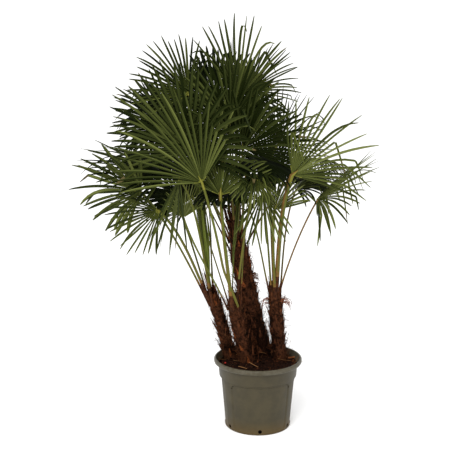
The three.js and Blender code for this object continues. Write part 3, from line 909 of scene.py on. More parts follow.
@dataclass
class Foliage:
    """The leaflets of some fronds as one piece.

    A leaflet is a closed, V-folded strip. It shares its edges with its neighbours out to the seams'
    radius, stands free beyond, tapers, sags, and ends in a short cleft. `kink` is where along its free
    part one can snap, `hang` and `swing` how its end hangs from there, and `arch` how one arches over.
    """

    name: str
    fronds: list[Frond]
    nodes: list[str]
    steps: int = 15
    start: float = 9.0
    notch_jitter: float = 0.05
    short_sides: float = 0.24
    length_jitter: float = 0.06
    sag_jitter: float = 0.06
    slim_jitter: float = 0.12
    angle_jitter: float = 0.006
    roll_jitter: float = 0.2
    kink: Pair = (0.35, 0.8)
    kink_half: float = 0.012
    hang: Pair = (1.2, 2.6)
    swing: float = 0.7
    arch: Pair = (0.5, 1.6)
    opening: float = 0.06
    fold: float = 0.9
    tip_fold: float = 0.35
    thickness: float = 0.8
    cleft: float = 12.0
    sway: float = 0.075
    lift: float = 0.11
    bluntness: float = 5.0
    tone_drift: float = 0.42
    straw_share: float = 0.03
    sleeve: float = 105.0
    mesh: MeshBuilder = field(default_factory=MeshBuilder)

    SECTION = np.array([(1.0, 0.0), (0.5, -0.56), (0.0, -1.0), (-0.5, -0.56), (-1.0, 0.0)]).T

    def build(self) -> None:
        """Lays every frond's leaflets and joins them."""
        for frond in self.fronds:
            lay = self.lay_bundle if frond.closed else self.lay_fan
            lay(frond, np.random.default_rng(frond.seed))
        finishes = [finish for tone in Tone for finish in tone.finishes()]
        settle("frond", self.nodes, self.mesh.build(self.name, [*finishes, LEAF_HUB, LEAF_STRAW], 40))

    def lay_fan(self, frond: Frond, rng: Random) -> None:
        """Lays an open fan, leaflet by leaflet.

        Args:
            frond: The frond.
            rng: Its own stream of numbers.
        """
        spread = math.radians(frond.spread)
        seams = frond.blade * (frond.joined + self.notch_jitter * rng.uniform(-1, 1, frond.count + 1))
        for i in range(frond.count):
            across = (2 * i + 1) / frond.count - 1
            side_share = self.short_sides * across * across * frond.spread / 110
            length = frond.blade * (1 - side_share) * (1 + self.length_jitter * rng.uniform(-1, 1))
            angle = across * spread + rng.normal(0, self.angle_jitter)
            self.lay_leaflet(frond, rng, angle, length, (seams[i + 1], seams[i]))

    def lay_leaflet(self, frond: Frond, rng: Random, angle: float, length: float, seams: Pair) -> None:
        """Lays one leaflet of an open fan.

        Args:
            frond: The frond it belongs to.
            rng: The frond's own stream of numbers.
            angle: Its angle in the fan, in radians.
            length: From hub to tip.
            seams: How far it is joined on its +side and on its -side.
        """
        kink = rng.uniform(*self.kink)
        spread = math.radians(frond.spread)
        outward = angle / spread
        snapped = rng.random() < frond.limp + frond.heavy * max(outward, 0)
        arch = rng.uniform(*self.arch) if rng.random() < frond.arched else 0.0
        notch = sum(seams) / 2
        marks = [kink - self.kink_half, kink + self.kink_half]
        free = np.sort(np.concatenate([np.linspace(0, 1, self.steps - 6), marks]))
        inner = [self.start, 2 * self.start, notch * 0.45, notch * 0.75]
        radius = np.concatenate([inner, notch + (length - notch) * free])
        free = np.concatenate([np.zeros(4), free])

        ray = frond.ray(angle)
        level = unit(np.cross(frond.face, ray))
        sag = frond.sag * (1 - frond.stiff + 2 * frond.stiff * outward**2)
        sag += self.sag_jitter * rng.uniform(-1, 1)
        sway, lift = rng.normal(0, self.sway * frond.unruly), rng.normal(0, self.lift * frond.unruly)
        way = ray + np.outer(free, level * sway + frond.face * lift)
        way[:, 2] -= 2 * sag * free + arch * free**2
        if snapped:
            way += np.outer(free > kink, -UP * rng.uniform(*self.hang) + level * rng.normal(0, self.swing))
        way = unit(way)
        strides = np.diff(radius)[:, None] * (way[1:] + way[:-1]) / 2
        line = frond.hub + ray * radius[0] + np.vstack([np.zeros(3), np.cumsum(strides, axis=0)])

        roll = (rng.normal(0, self.roll_jitter) * free)[:, None]
        edge = unit(level - way * (way @ level)[:, None])
        edge = edge * np.cos(roll) + np.cross(way, edge) * np.sin(roll)
        slim = frond.slim + self.slim_jitter * rng.uniform(-1, 1)
        widest = frond.blade * frond.widest
        own = np.clip((radius - widest) / (length - widest), 0, 1)
        full = np.minimum(radius, widest * (1.04 - 0.08 * own - 0.72 * own**self.bluntness))
        full *= math.sin(spread / frond.count)
        opening = self.opening * frond.blade
        widths = [full * (1 - slim * smoothstep(radius, seam, seam + opening)) for seam in seams]
        folded = self.fold + (self.tip_fold - self.fold) * free
        outermost = abs(angle) > spread - math.radians(frond.pitch)
        yellow = 0 if frond.tone < 2 else 2 if outermost else 1
        self.skin(line, way, edge, np.array(widths), folded, self.dealt(frond, rng, snapped, yellow))

    def lay_bundle(self, frond: Frond, rng: Random) -> None:
        """Lays an unopened leaf: leaflets pressed together round the axis, like a furled umbrella.

        Args:
            frond: The frond.
            rng: Its own stream of numbers.
        """
        share = np.linspace(0, 1, self.steps)
        for i in range(frond.count):
            turn = 2 * math.pi * (i + rng.uniform(-0.2, 0.2)) / frond.count
            out = frond.side * math.cos(turn) + frond.face * math.sin(turn)
            length = frond.blade * rng.uniform(0.6, 1.0)
            along = share * (length + self.sleeve) - self.sleeve
            swell = frond.bundle * rng.uniform(0.35, 1.1) * np.sin(math.pi * (0.04 + 0.81 * share)) ** 0.8
            wave = rng.normal(0, 2.5) * np.sin(share * rng.uniform(4, 9)) + rng.uniform(0, 9) * share**3
            line = frond.hub + np.outer(along, frond.axis) + np.outer(swell + wave, out)
            way = unit(np.gradient(line, axis=0))
            edge = np.tile(unit(np.cross(out, frond.axis)), (self.steps, 1))
            width = (6.0 * (1 - share**3) + 1.2) * np.minimum(1, 0.35 + share * 5)
            folded, slots = np.full(self.steps, 0.5), self.dealt(frond, rng, False, 0)
            self.skin(line, way, edge, np.array([width, width]), folded, slots)

    def dealt(self, frond: Frond, rng: Random, snapped: bool, yellow: int) -> list[int]:
        """Deals a leaflet its tone, one tone darker on one flank of its fold as painted shade, and a dry tip
        to a few.

        Args:
            frond: The frond it belongs to.
            rng: The frond's own stream of numbers.
            snapped: Whether its end is snapped.
            yellow: How many of its stretches are yellow at the hub.

        Returns:
            The material slot of each face.
        """
        tone, last, dry = frond.tone, len(Tone) - 1, 0
        if rng.random() < self.tone_drift:
            tone += int(rng.choice([-1, 1]))
        if frond.closed and frond.tone == last:
            tone = int(rng.choice([last, last, 4, 3, 1]))
        else:
            tone = int(np.clip(tone, 0, last - 1))
            if rng.random() < self.straw_share * (2 if snapped else 1):
                dry = int(rng.integers(1, 3))
        # Painted shade: one flank of each leaflet's fold, above and below, takes the next darker tone for the
        # shaded side of the fold.
        shaded = tone - 1 if 0 < tone < last else tone
        row = [2 * tone] * 2 + [2 * shaded] * 2 + [2 * shaded + 1] * 3 + [2 * tone + 1] * 3
        hub, straw = [2 * len(Tone)] * 10, [2 * len(Tone) + 1] * 10
        return hub * yellow + row * (self.steps - 1 - yellow - dry) + straw * dry

    def skin(
        self, line: Point, way: Point, edge: Point, widths: np.ndarray, folded: np.ndarray, slots: list[int]
    ) -> None:
        """Wraps a closed, folded strip round a leaflet's line.

        Args:
            line: Points along the mid-line of the leaflet's edges.
            way: Its direction at each point.
            edge: The unit vector to its +side at each point.
            widths: Half its width towards +side and towards -side at each point.
            folded: The fold's depth as a share of the half-width at each point.
            slots: The material slot of each face.
        """
        across, down = self.SECTION
        face = np.cross(way, edge)[:, None]
        width = across * np.where(across > 0, widths[0][:, None], widths[1][:, None])
        depth = np.outer(folded * widths.mean(axis=0), down)
        upper = line[:, None] + edge[:, None] * width[..., None] + face * depth[..., None]
        rings = np.hstack([upper, (upper - face * self.thickness)[:, ::-1]])
        for cleft in (slice(1, 4), slice(6, 9)):
            rings[-1, cleft] -= self.cleft * np.outer([0.35, 1.0, 0.35], way[-1])
        self.mesh.tube(rings, slots)


@dataclass
class Stalks:
    """The leaf stalks of some fronds: flat above, round below, with saw-edged margins.

    Each clasps the trunk with a brown, widened base and runs on under the blade as a short rib.
    """

    name: str
    fronds: list[Frond]
    nodes: list[str]
    rings: int = 22
    sides: int = 10
    rib_rings: int = 6
    base_half_width: float = 11.5
    half_width: float = 6.6
    neck_half_width: float = 5.6
    widest_half: float = 13.5
    depth: float = 7.4
    rib_length: float = 42.0
    barb: float = 2.2
    barb_pitch: float = 9.0
    drop_turn: float = 68.0
    drop_share: float = 0.3
    drop_rise: float = 7.0
    mesh: MeshBuilder = field(default_factory=MeshBuilder)
    margins: list[np.ndarray] = field(default_factory=list)
    ways: list[np.ndarray] = field(default_factory=list)

    def dropped_foot(self, frond: Frond) -> Point:
        """Finds where a stalk ends whose foot runs on down and round the trunk.

        Args:
            frond: The frond it carries.

        Returns:
            A point just over the trunk's surface.
        """
        low = frond.stem.share(frond.path.point(0.0)[2] - frond.drop)
        out = rolled(frond.out, frond.up, math.radians(self.drop_turn))
        return frond.stem.surface(low, out, -self.drop_rise)

    def half_widths(self, share: np.ndarray) -> np.ndarray:
        """Gives half the stalk's width at shares of its length."""
        slim = self.half_width + (self.neck_half_width - self.half_width) * share
        return slim + (self.base_half_width - slim) * np.exp(-share / 0.07)

    def build(self) -> None:
        """Builds the stalks and their barbs."""
        for frond in self.fronds:
            self.lay(frond, np.random.default_rng(frond.seed + 500))
        finishes = [STALK_BROWN, STALK_TAN, STALK_OLIVE, STALK_GREEN, STALK_YELLOW]
        settle("frond", self.nodes, self.mesh.build(self.name, finishes, 50))
        spots = np.concatenate(self.margins) * MM
        edges = [(k, k + 1) for k in range(len(spots) - 1) if (k + 1) % self.rings]
        guide = guide_of(f"{self.name}_margins", spots, edges, way=np.concatenate(self.ways))
        sizes = {"Pitch": self.barb_pitch * MM, "Length": self.barb * MM}
        barbs = grow(guide, barb_tree(), f"{self.name}_barbs", Finish=STALK_BARB, Seed=11, **sizes)
        bpy.data.objects.remove(guide)
        settle("frond", self.nodes, barbs)

    def lay(self, frond: Frond, rng: Random) -> None:
        """Lays one stalk and notes its margins.

        Args:
            frond: The frond it carries.
            rng: The stalk's own stream of numbers.
        """
        share = np.linspace(0, 1, self.rings) ** 1.15
        line = np.array([frond.path.point(s) for s in share])
        if frond.drop:
            moved = np.clip(1 - share / self.drop_share, 0, 1)
            line += np.outer(moved, self.dropped_foot(frond) - line[0])
        way = unit(np.gradient(line, axis=0))
        blend = (share * share)[:, None]
        edge = frond.across * (1 - blend) + frond.side * blend
        edge = unit(edge - way * np.sum(edge * way, axis=1)[:, None])
        face = np.cross(way, edge)
        girth = frond.girth * (0.75 if frond.closed else rng.uniform(0.85, 1.15))
        half = np.minimum(self.half_widths(share) * girth, self.widest_half)
        if frond.drop:
            half *= 0.25 + 0.75 * smoothstep(share, 0.0, self.drop_share / 3)
        deep = self.depth * girth * (1 + 0.3 * np.exp(-share / 0.08))
        for side in (-1, 1):
            self.margins.append(line + side * edge * half[:, None])
            self.ways.append(side * edge)

        rib = np.linspace(0.08, 1, self.rib_rings)
        under = frond.hub + np.outer(rib * self.rib_length, frond.axis)
        line = np.vstack([line, under - np.outer(1.5 + 6 * np.sqrt(rib), frond.face)])
        edge = np.vstack([edge, np.tile(frond.side, (self.rib_rings, 1))])
        face = np.vstack([face, np.tile(frond.face, (self.rib_rings, 1))])
        half = np.concatenate([half, half[-1] * (1 - 0.85 * rib)])
        deep = np.concatenate([deep, deep[-1] * (1 - 0.75 * rib)])

        turn = circle(self.sides)
        rise = np.where(np.sin(turn) > 0, 0.3, 1.0) * np.sin(turn)
        wide = edge[:, None] * np.outer(half, np.cos(turn))[..., None]
        rings = line[:, None] + wide + face[:, None] * np.outer(deep, rise)[..., None]
        brown = frond.sheath or rng.uniform(0.06, 0.2)
        tan = brown + rng.uniform(0.01, 0.04) * (frond.drop == 0)
        olive = 0.0 if frond.closed else rng.uniform(0.25, 0.7)
        stretch = np.concatenate([share, np.ones(self.rib_rings - 1)])
        dealt = np.select([stretch < end for end in (brown, tan, olive, 0.93)], [0, 1, 2, 3], 4)
        faces = np.repeat(dealt[:, None], self.sides, axis=1)
        if rng.random() < frond.streaked:
            faces[:, 4:7] = np.where(faces[:, 4:7] > 0, 1, 0)
        self.mesh.tube(rings, faces.ravel().tolist())


# ---- trunks and soil


TRUNK_STRANDS = (
    Strands("_fibres", 1.0, 0, BARK_FIBRE, BARK_FIBRE_DARK, 0.3, 12, 40, 0.6, 0.16, 0.1, 0.6, 0.8),
    Strands("_stray_fibres", 0.03, 40, BARK_FIBRE_PALE, BARK_FIBRE, 0.5, 22, 85, 0.6, 0.6, 0.5, 0.6, 0.8),
    Strands(
        "_curled_fibres", 0.045, 60, BARK_FIBRE, BARK_FIBRE_DARK, 0.4, 22, 60, 0.9, 1.0, 0.42, 0.1, 0.8, 8
    ),
)
"""The fibres of a trunk; their densities are shares of the trunk's own, and their seeds follow its."""


@dataclass
class Trunk:
    """A palm trunk: a mat of coarse fibre wound round it, stubs of old leaf bases, and loose fibre.

    `frays` are its frayed sheaths: the height, heading, number of fibres and size of each. The spans of
    the leaf bases and of the sheaths round its neck are those of their thickness, width and length.
    """

    stem: Stem
    spokes: int
    rings: int
    seed: int
    boots: int
    fibre_density: float
    # The side that the mat is painted darker on for shade, as a turn in degrees, and the height up to which
    # it is.
    damp_turn: float
    damp_top: float
    sheaths: int
    frays: tuple[tuple[float, float, int, float], ...] = ()
    sheath_depth: float = 4.2
    sheath_rise: float = 62.0
    whorls: int = 3
    lump: float = 3.6
    weave: float = 0.9
    lip: float = 1.2
    ridge: float = 1.6
    base_spans: tuple[Pair, ...] = ((5, 10), (9, 27), (32, 90))
    base_lift: Pair = (0.1, 0.5)
    neck_spans: tuple[Pair, ...] = ((4, 8), (9, 20), (60, 165))
    neck_lift: Pair = (-0.12, 0.14)
    fresh_share: float = 0.13
    fray_radius: float = 2.3
    fray_reach: Pair = (30, 72)
    fray_drop: Pair = (6, 46)
    fray_rise: Pair = (8, 30)

    def mantle(self) -> Piece:
        """Builds the fibre mat: overlapping sheaths that wind up the trunk, lumpy and ribbed.

        Returns:
            The object.
        """
        stem, turn, share = self.stem, circle(self.spokes), np.linspace(0, 1, self.rings)
        centre = np.array([stem.axis.point(s) for s in share])
        radius = np.array([stem.radius(s) for s in share])
        out = around(turn)
        grid = centre[:, None] + radius[:, None, None] * out
        lumps = fractal(grid, 70, 4, self.seed)
        ridge = fractal(grid * np.array([1, 1, 0.25]), 9, 3, self.seed + 3)
        height = centre[:, 2:3]
        row = self.whorls * turn / (2 * math.pi) + height / self.sheath_rise + 0.35 * lumps
        lip = np.exp(-(((row % 1.0) - 0.93) / 0.05) ** 2)
        slant = np.sin(turn * 26 + height * 0.33) * np.sin(turn * 21 - height * 0.41)
        relief = self.sheath_depth * ((row % 1.0) - 0.5) + self.lip * lip
        relief += self.lump * lumps + self.ridge * ridge + self.weave * slant
        fade = np.minimum(1.0, (1 - share) * 14)[:, None]
        # Painted shade: the side towards the given turn, below the given height, takes the darker mat and
        # more dark fibres for the shade there; the random patches are damp fibre.
        facing = np.cos(turn - math.radians(self.damp_turn))
        low = 1 - smoothstep(height, self.damp_top - 90, self.damp_top + 90)
        patches = fractal(grid + 500, 60, 3, self.seed + 6)
        damp = smoothstep(facing + 1.3 * patches, -0.15, 0.5) * low
        damp = np.maximum(damp, smoothstep(patches, 0.3, 0.6))
        mesh = MeshBuilder()
        mesh.tube(grid + (relief * fade)[..., None] * out, (damp[:-1] > 0.5).astype(int).ravel().tolist())
        mat = mesh.build(f"{stem.name}_fibre_mat", [BARK_MAT, BARK_DAMP_AND_PAINTED_SHADE], 60)
        layer = mat.data.attributes.new("damp", "FLOAT", "POINT")
        layer.data.foreach_set("value", (damp * 0.97).astype(np.float32).ravel())
        return mat

    def stubs(self, rng: Random) -> Piece:
        """Builds the old leaf bases up the trunk on a winding row, and the sheaths at its top.

        Args:
            rng: The trunk's own stream of numbers.

        Returns:
            The object.
        """
        stem, bases = self.stem, []
        for k in range(self.boots + self.sheaths):
            if k < self.boots:
                share = 0.06 + 0.9 * (k + rng.uniform(-0.4, 0.4)) / self.boots
                turn = k * GOLDEN_TURN + rng.normal(0, 0.15)
                lift, spans = self.base_lift, self.base_spans
            else:
                share = rng.uniform(0.8, 0.99)
                turn = (k - self.boots) * GOLDEN_TURN
                lift, spans = self.neck_lift, self.neck_spans
            out = around(turn)
            way = unit(stem.axis.tangent(share) + out * rng.uniform(*lift))
            size = np.array([rng.uniform(*span) for span in spans])
            bases.append((stem.surface(share, out, 1.0) * MM, way, out, size * MM))
        spots, ways, faces, sizes = (np.array(each) for each in zip(*bases))
        guide = guide_of(f"{stem.name}_boot_spots", spots, [], way=ways, face=faces, size=sizes)
        looks = {"Finish": OLD_BOOT, "Second_Finish": FRESH_BOOT, "Second_Share": self.fresh_share}
        name = f"{stem.name}_leaf_base_stubs"
        stubs = grow(guide, shapes_tree(), name, Shape=boot_shape(), Seed=self.seed + 80, **looks)
        bpy.data.objects.remove(guide)
        return stubs

    def tufts(self, rng: Random) -> list[Piece]:
        """Builds the frayed ends of leaf sheaths, whose fibres spring out and hang.

        Args:
            rng: The trunk's own stream of numbers.

        Returns:
            The object, or none where the trunk has no such sheath.
        """
        if not self.frays:
            return []
        mesh = MeshBuilder()
        for height, heading, size in ((h, t, s) for h, t, count, s in self.frays for _ in range(count)):
            out = around(math.radians(heading + rng.normal(0, 16)))
            root = self.stem.surface(self.stem.share(height), out) + UP * rng.uniform(-14, 22)
            reach, drop = size * rng.uniform(*self.fray_reach), size * rng.uniform(*self.fray_drop)
            knee = root + out * reach * rng.uniform(0.6, 1.1) + UP * size * rng.uniform(*self.fray_rise)
            path = Bezier(np.array([root, knee, root + out * reach - UP * drop]))
            rings = []
            for step in np.linspace(0, 1, 9):
                way = path.tangent(step)
                side = unit(np.cross(way, np.array([-out[1], out[0], 0.3])))
                turns = around(circle(4), self.fray_radius * (1 - 0.6 * step))
                rings.append(path.point(step) + turns @ np.array([side, np.cross(way, side), way]))
            mesh.tube(rings, int(rng.random() < 0.3 / size**2))
        return [mesh.build(f"{self.stem.name}_frayed_sheath", [TUFT_FIBRE, BARK_FIBRE], 50)]

    def build(self) -> None:
        """Builds the trunk's mat, fibres, leaf bases and frayed sheaths."""
        rng = np.random.default_rng(self.seed)
        mat, name = self.mantle(), self.stem.name
        fibres = [kind.strew(mat, name, self.fibre_density, self.seed) for kind in TRUNK_STRANDS]
        settle("trunk", [f"trunk_{name}"], mat, *fibres, self.stubs(rng), *self.tufts(rng))


def boot_shape() -> Piece:
    """Makes the unit shape of an old leaf base: wide and thick at the foot, torn to a blunt tip.

    Returns:
        The shape, one unit long and outside the scene; it is made once.
    """
    name = "leaf_base_shape"
    if name in bpy.data.objects:
        return bpy.data.objects[name]
    turn, rings = circle(8), []
    outline = ((-0.12, 1, 1, 0), (0.2, 0.9, 0.9, 0.1), (0.6, 0.55, 0.6, 0.5), (1.0, 0.12, 0.3, 1.2))
    for rise, wide, thick, lean in outline:
        tear = rise + 0.06 * np.cos(turn * 3 + rise * 9) * rise
        sides = (0.5 * thick * np.cos(turn) + lean * 0.5, 0.5 * wide * np.sin(turn), tear)
        rings.append(np.stack(sides, axis=1) / MM)
    mesh = MeshBuilder()
    mesh.tube(rings, 0)
    made = mesh.build(name, [OLD_BOOT], 50)
    bpy.context.scene.collection.objects.unlink(made)
    return made


SOIL_CRUMBS = (
    Crumbs("soil_crumbs", 17000, 3, SOIL_MIX, SOIL_CRUMB, 0.4, 2.2, 12),
    Crumbs("soil_bark_bits", 900, 8, BARK_BIT, SOIL_DARK_AND_PAINTED_SHADE, 0.5, 7, 24),
)
SOIL_STRAWS = (
    Strands("soil_straw", 900, 21, SOIL_STRAW, BARK_FIBRE_PALE, 0.3, 10, 42, 0.7, 0.2, 0.12, 0.0, 1.0),
    Strands("soil_long_straw", 150, 27, PALE_STRAW, BARK_FIBRE_PALE, 0.5, 40, 110, 1.3, 0.08, 0.22, 0.0, 1.0),
)
SOIL_CHIPS = (
    ((186, 62), 18, 66, 9, 5, 372, 0),
    ((-30, -196), -24, 46, 6, 3, 376, 0),
    ((-186, -56), 64, 9, 8, 3, 383, 1),
    ((-28, -100), -62, 104, 2.2, 1.8, 387, 2),
    ((-134, 98), -68, 77, 2.2, 1.8, 387, 2),
    ((-90, -144), -45, 66, 2.2, 1.8, 387, 2),
)
"""The slats, the fleck and the straws that lie singly: plank's own words, then the finish's number."""


@dataclass
class Soil:
    """The potting mix: a lumpy heap with crumbs, straw, chips and a slat of wood in it."""

    floor: float = 6.4
    foot_radius: float = 182.5
    body_radius: float = 208.5
    body_height: float = 296.0
    edge_radius: float = 221.9
    edge_height: float = 366.0
    heap: float = 15.0
    lump: float = 4.5
    spokes: int = 150
    rings: int = 56

    def top_ring(self, turn: np.ndarray, radius: float) -> np.ndarray:
        """Gives a ring of the lumpy top.

        Args:
            turn: The turns of its points.
            radius: Its radius.

        Returns:
            The ring.
        """
        lumps = fractal(around(turn, radius), 46, 5, 4)
        calm = min(1.0, radius / 12) * min(1.0, (self.edge_radius - radius) / 8 + 0.25)
        mean = self.edge_height + self.heap * (1 - smoothstep(radius, 60.0, 215.0))
        return around(turn, radius, mean + self.lump * lumps * calm)

    def body(self) -> Piece:
        """Builds the mix, from the pot's floor to its lumpy top.

        Returns:
            The object.
        """
        turn = circle(self.spokes)
        sides = [(1.0, self.floor), (self.foot_radius, self.floor), (self.body_radius, self.body_height)]
        sides.append((self.edge_radius, self.edge_height - 6))
        rings = [around(turn, radius, height) for radius, height in sides]
        reaches = np.linspace(self.edge_radius - 1.5, 1.0, self.rings)
        rings += [self.top_ring(turn, radius) for radius in reaches]
        mesh = MeshBuilder()
        # The sides and floor of the mix, seen only through the drain holes, take the near-black finish:
        # painted shade.
        mesh.tube(rings, [1] * (len(sides) * self.spokes) + [0] * ((self.rings - 1) * self.spokes))
        return mesh.build("potting_mix", [SOIL_MIX, SOIL_DARK_AND_PAINTED_SHADE], 60)

    def build(self) -> None:
        """Builds the mix and what lies in it."""
        body = self.body()
        crumbs = [kind.strew(body) for kind in SOIL_CRUMBS]
        straws = [kind.strew(body) for kind in SOIL_STRAWS]
        for straw in straws:
            trim_below(straw, self.edge_height - 8)
        mesh = MeshBuilder()
        for *place, finish in SOIL_CHIPS:
            mesh.tube(plank(*place), finish)
        chips = mesh.build("chips_in_soil", [WOOD_CHIP, RED_FLECK, PALE_STRAW], 30)
        settle("soil", ["soil"], body, *crumbs, *straws, chips)


def plank(centre: Pair, heading: float, length: float, width: float, depth: float, height: float) -> Point:
    """Makes the rings of a small, slightly tapered plank that lies flat.

    Args:
        centre: Its middle, from above.
        heading: The way it lies, in degrees.
        length: Its length.
        width: Its width.
        depth: Its thickness.
        height: The height of its middle.

    Returns:
        Rings for a tube.
    """
    way = direction(heading, 88)
    side = unit(np.cross(UP, way))
    rise = np.cross(way, side) * depth / 2
    rings = []
    for share in (-0.5, -0.1, 0.3, 0.5):
        spot = np.array([*centre, height]) + way * length * share
        half = side * width / 2 * (1 - 0.25 * abs(share))
        rings.append([spot + half - rise, spot + half + rise, spot - half + rise, spot - half - rise])
    return np.array(rings)


def trim_below(piece: Piece, height: float) -> None:
    """Takes away the points of a piece that lie below a height.

    Args:
        piece: The object.
        height: The height in millimetres.
    """
    mesh = bmesh.new()
    mesh.from_mesh(piece.data)
    low = [v for v in mesh.verts if v.co.z < height * MM]
    bmesh.ops.delete(mesh, geom=low, context="VERTS")
    mesh.to_mesh(piece.data)
    mesh.free()


# ---- the pot


@dataclass
class Pot:
    """A blow-moulded nursery pot: tapering body with three shallow panels, collar and rolled lip."""

    height: float = 400.0
    base_radius: float = 187.0
    body_top_radius: float = 213.0
    body_top: float = 296.0
    collar_radius: float = 220.0
    collar_top_radius: float = 227.0
    lip_radius: float = 250.0
    lip_depth: float = 28.0
    lip_round: float = 10.0
    foot_round: float = 5.0
    mouth_radius: float = 239.0
    wall: float = 4.0
    floor: float = 6.0
    spokes: int = 192
    panels: int = 3
    panel_turn: float = -86.0
    panel_half_angle: float = 50.0
    panel_depth: float = 3.5
    panel_foot: float = 16.0
    panel_top: float = 286.0
    panel_corner: float = 26.0
    drains: int = 6
    drain_radius: float = 11.0
    drain_height: float = 21.0
    first_drain: float = -87.5
    seam_turn: float = -110.6
    seam_height: float = 0.8

    @staticmethod
    def bend(reach: float, height: float, curve: float, turns: Sequence[float]) -> list[Point]:
        """Returns the profile's points round a bend, at turns in degrees about its middle."""
        angles = np.radians(turns)
        return [*np.column_stack([reach + curve * np.cos(angles), height + curve * np.sin(angles)])]

    def profile(self) -> tuple[list[Point], ...]:
        """Gives the radii and heights of the foot, body, collar, lip and inside.

        Returns:
            The five lists of points, from the middle of the underside round to that of the floor.
        """
        base, top, lip_foot = self.base_radius, self.body_top, self.height - self.lip_depth
        collar, collar_top, curve = self.collar_radius, self.collar_top_radius, self.lip_round
        reach, thick, corner = self.lip_radius - curve, self.wall, self.foot_round
        slope = (self.body_top_radius - base) / top
        heights = (*np.linspace(12, 250, 22), *np.linspace(256, 276, 6), *np.linspace(279, 290, 9), 293.5)
        foot = [(1.0, 0.0), (base - 40, 0.0), (base - 7, 0.0)]
        foot += self.bend(base - corner, corner, corner, (-70, -45, -20, 0))
        body = [(base + slope * height, height) for height in heights]
        rim = [(self.body_top_radius, top), (collar - 1.5, top + 1), (collar, top + 4)]
        rim += [(collar_top - 1, lip_foot - 5), (collar_top + 3, lip_foot)]
        lip = self.bend(reach, lip_foot + curve, curve, np.linspace(-85, 0, 7))
        lip += self.bend(reach, self.height - curve, curve, np.linspace(0, 85, 7))
        lip.append((self.mouth_radius, self.height - 0.5))
        inside = [(self.mouth_radius - 1.2, self.height - 2), (self.mouth_radius - 1.5, self.height - 6)]
        inside += [(collar_top - thick + 3, lip_foot + 2), (collar_top - thick, lip_foot - 5)]
        inside += [(collar - thick, top + 8), (self.body_top_radius - thick, top - 2)]
        inside += [(base - thick, self.floor), (1.0, self.floor)]
        return foot, body, rim, lip, inside

    def panel(self, turn: np.ndarray, height: float) -> np.ndarray:
        """Finds how deep in a panel with rounded upper corners each spot of the wall is.

        Args:
            turn: Turns about the pot's axis.
            height: The spots' height.

        Returns:
            From 0 on a rib or rim to 1 in a panel.
        """
        step, corner = 360 / self.panels, self.panel_corner
        off = np.abs((np.degrees(turn) - self.panel_turn + step / 2) % step - step / 2)
        beside = np.radians(off - self.panel_half_angle) * self.base_radius
        above = max(height - self.panel_top, self.panel_foot - height)
        outside = np.hypot(np.maximum(beside + corner, 0), max(above + corner, 0)) - corner
        return 1 - smoothstep(outside, -3.0, 1.5)

    def build(self) -> None:
        """Builds the pot and drills its drain holes."""
        turn = circle(self.spokes)
        seam = np.exp(-((((np.degrees(turn) - self.seam_turn + 90) % 180) - 90) / 1.2) ** 2)
        foot, body, rim, lip, inside = self.profile()
        outline = foot + body + rim + lip + inside
        walls = range(len(foot), len(foot + body))
        lips = range(walls.stop + len(rim) - 1, walls.stop + len(rim + lip) + 1)
        rings, slots = [], []
        for k, (radius, height) in enumerate(outline):
            pressed = self.seam_height * seam - self.panel_depth * self.panel(turn, height)
            rings.append(around(turn, radius + pressed * (k in walls), height))
            # Painted shade: the faces along the panels' upper edges take the dark crease finish for the shade
            # in that groove.
            creased = k in walls[:-1] and height >= self.panel_top - self.panel_corner
            if creased:
                inner = self.panel(turn + math.pi / self.spokes, (height + outline[k + 1][1]) / 2)
                slots += np.where((inner > 0.12) & (inner < 0.92), 2, 0).tolist()
            elif k < len(outline) - 1:
                # The lip takes the lighter rim finish: scuffs and painted highlight.
                slots += [int(k in lips)] * self.spokes
        mesh = MeshBuilder()
        mesh.tube(rings, slots)
        pot = mesh.build("nursery_pot", [POT_PLASTIC, POT_RIM_SCUFFS_AND_HIGHLIGHT, POT_PAINTED_SHADE_CREASE], 35)
        self.drill(pot)
        settle("pot", ["pot"], pot)

    def drill(self, pot: Piece) -> None:
        """Cuts the drain holes through the wall just above the foot.

        Args:
            pot: The pot to cut.
        """
        drills = MeshBuilder()
        section = around(circle(24), self.drain_radius)
        for k in range(self.drains):
            out = around(math.radians(self.first_drain + k * 360 / self.drains))
            turned = section @ np.array([np.cross(UP, out), UP, out])
            ends = (self.base_radius - 20, self.base_radius + 12)
            drills.tube([turned + out * reach + UP * self.drain_height for reach in ends], 0)
        cutter = drills.build("drain_drills", [POT_PLASTIC])
        cut = pot.modifiers.new("drains", "BOOLEAN")
        cut.operation = "DIFFERENCE"
        cut.solver = "EXACT"
        cut.object = cutter
        pot.data = evaluated(pot)
        bpy.data.objects.remove(cutter)


# ---- studio


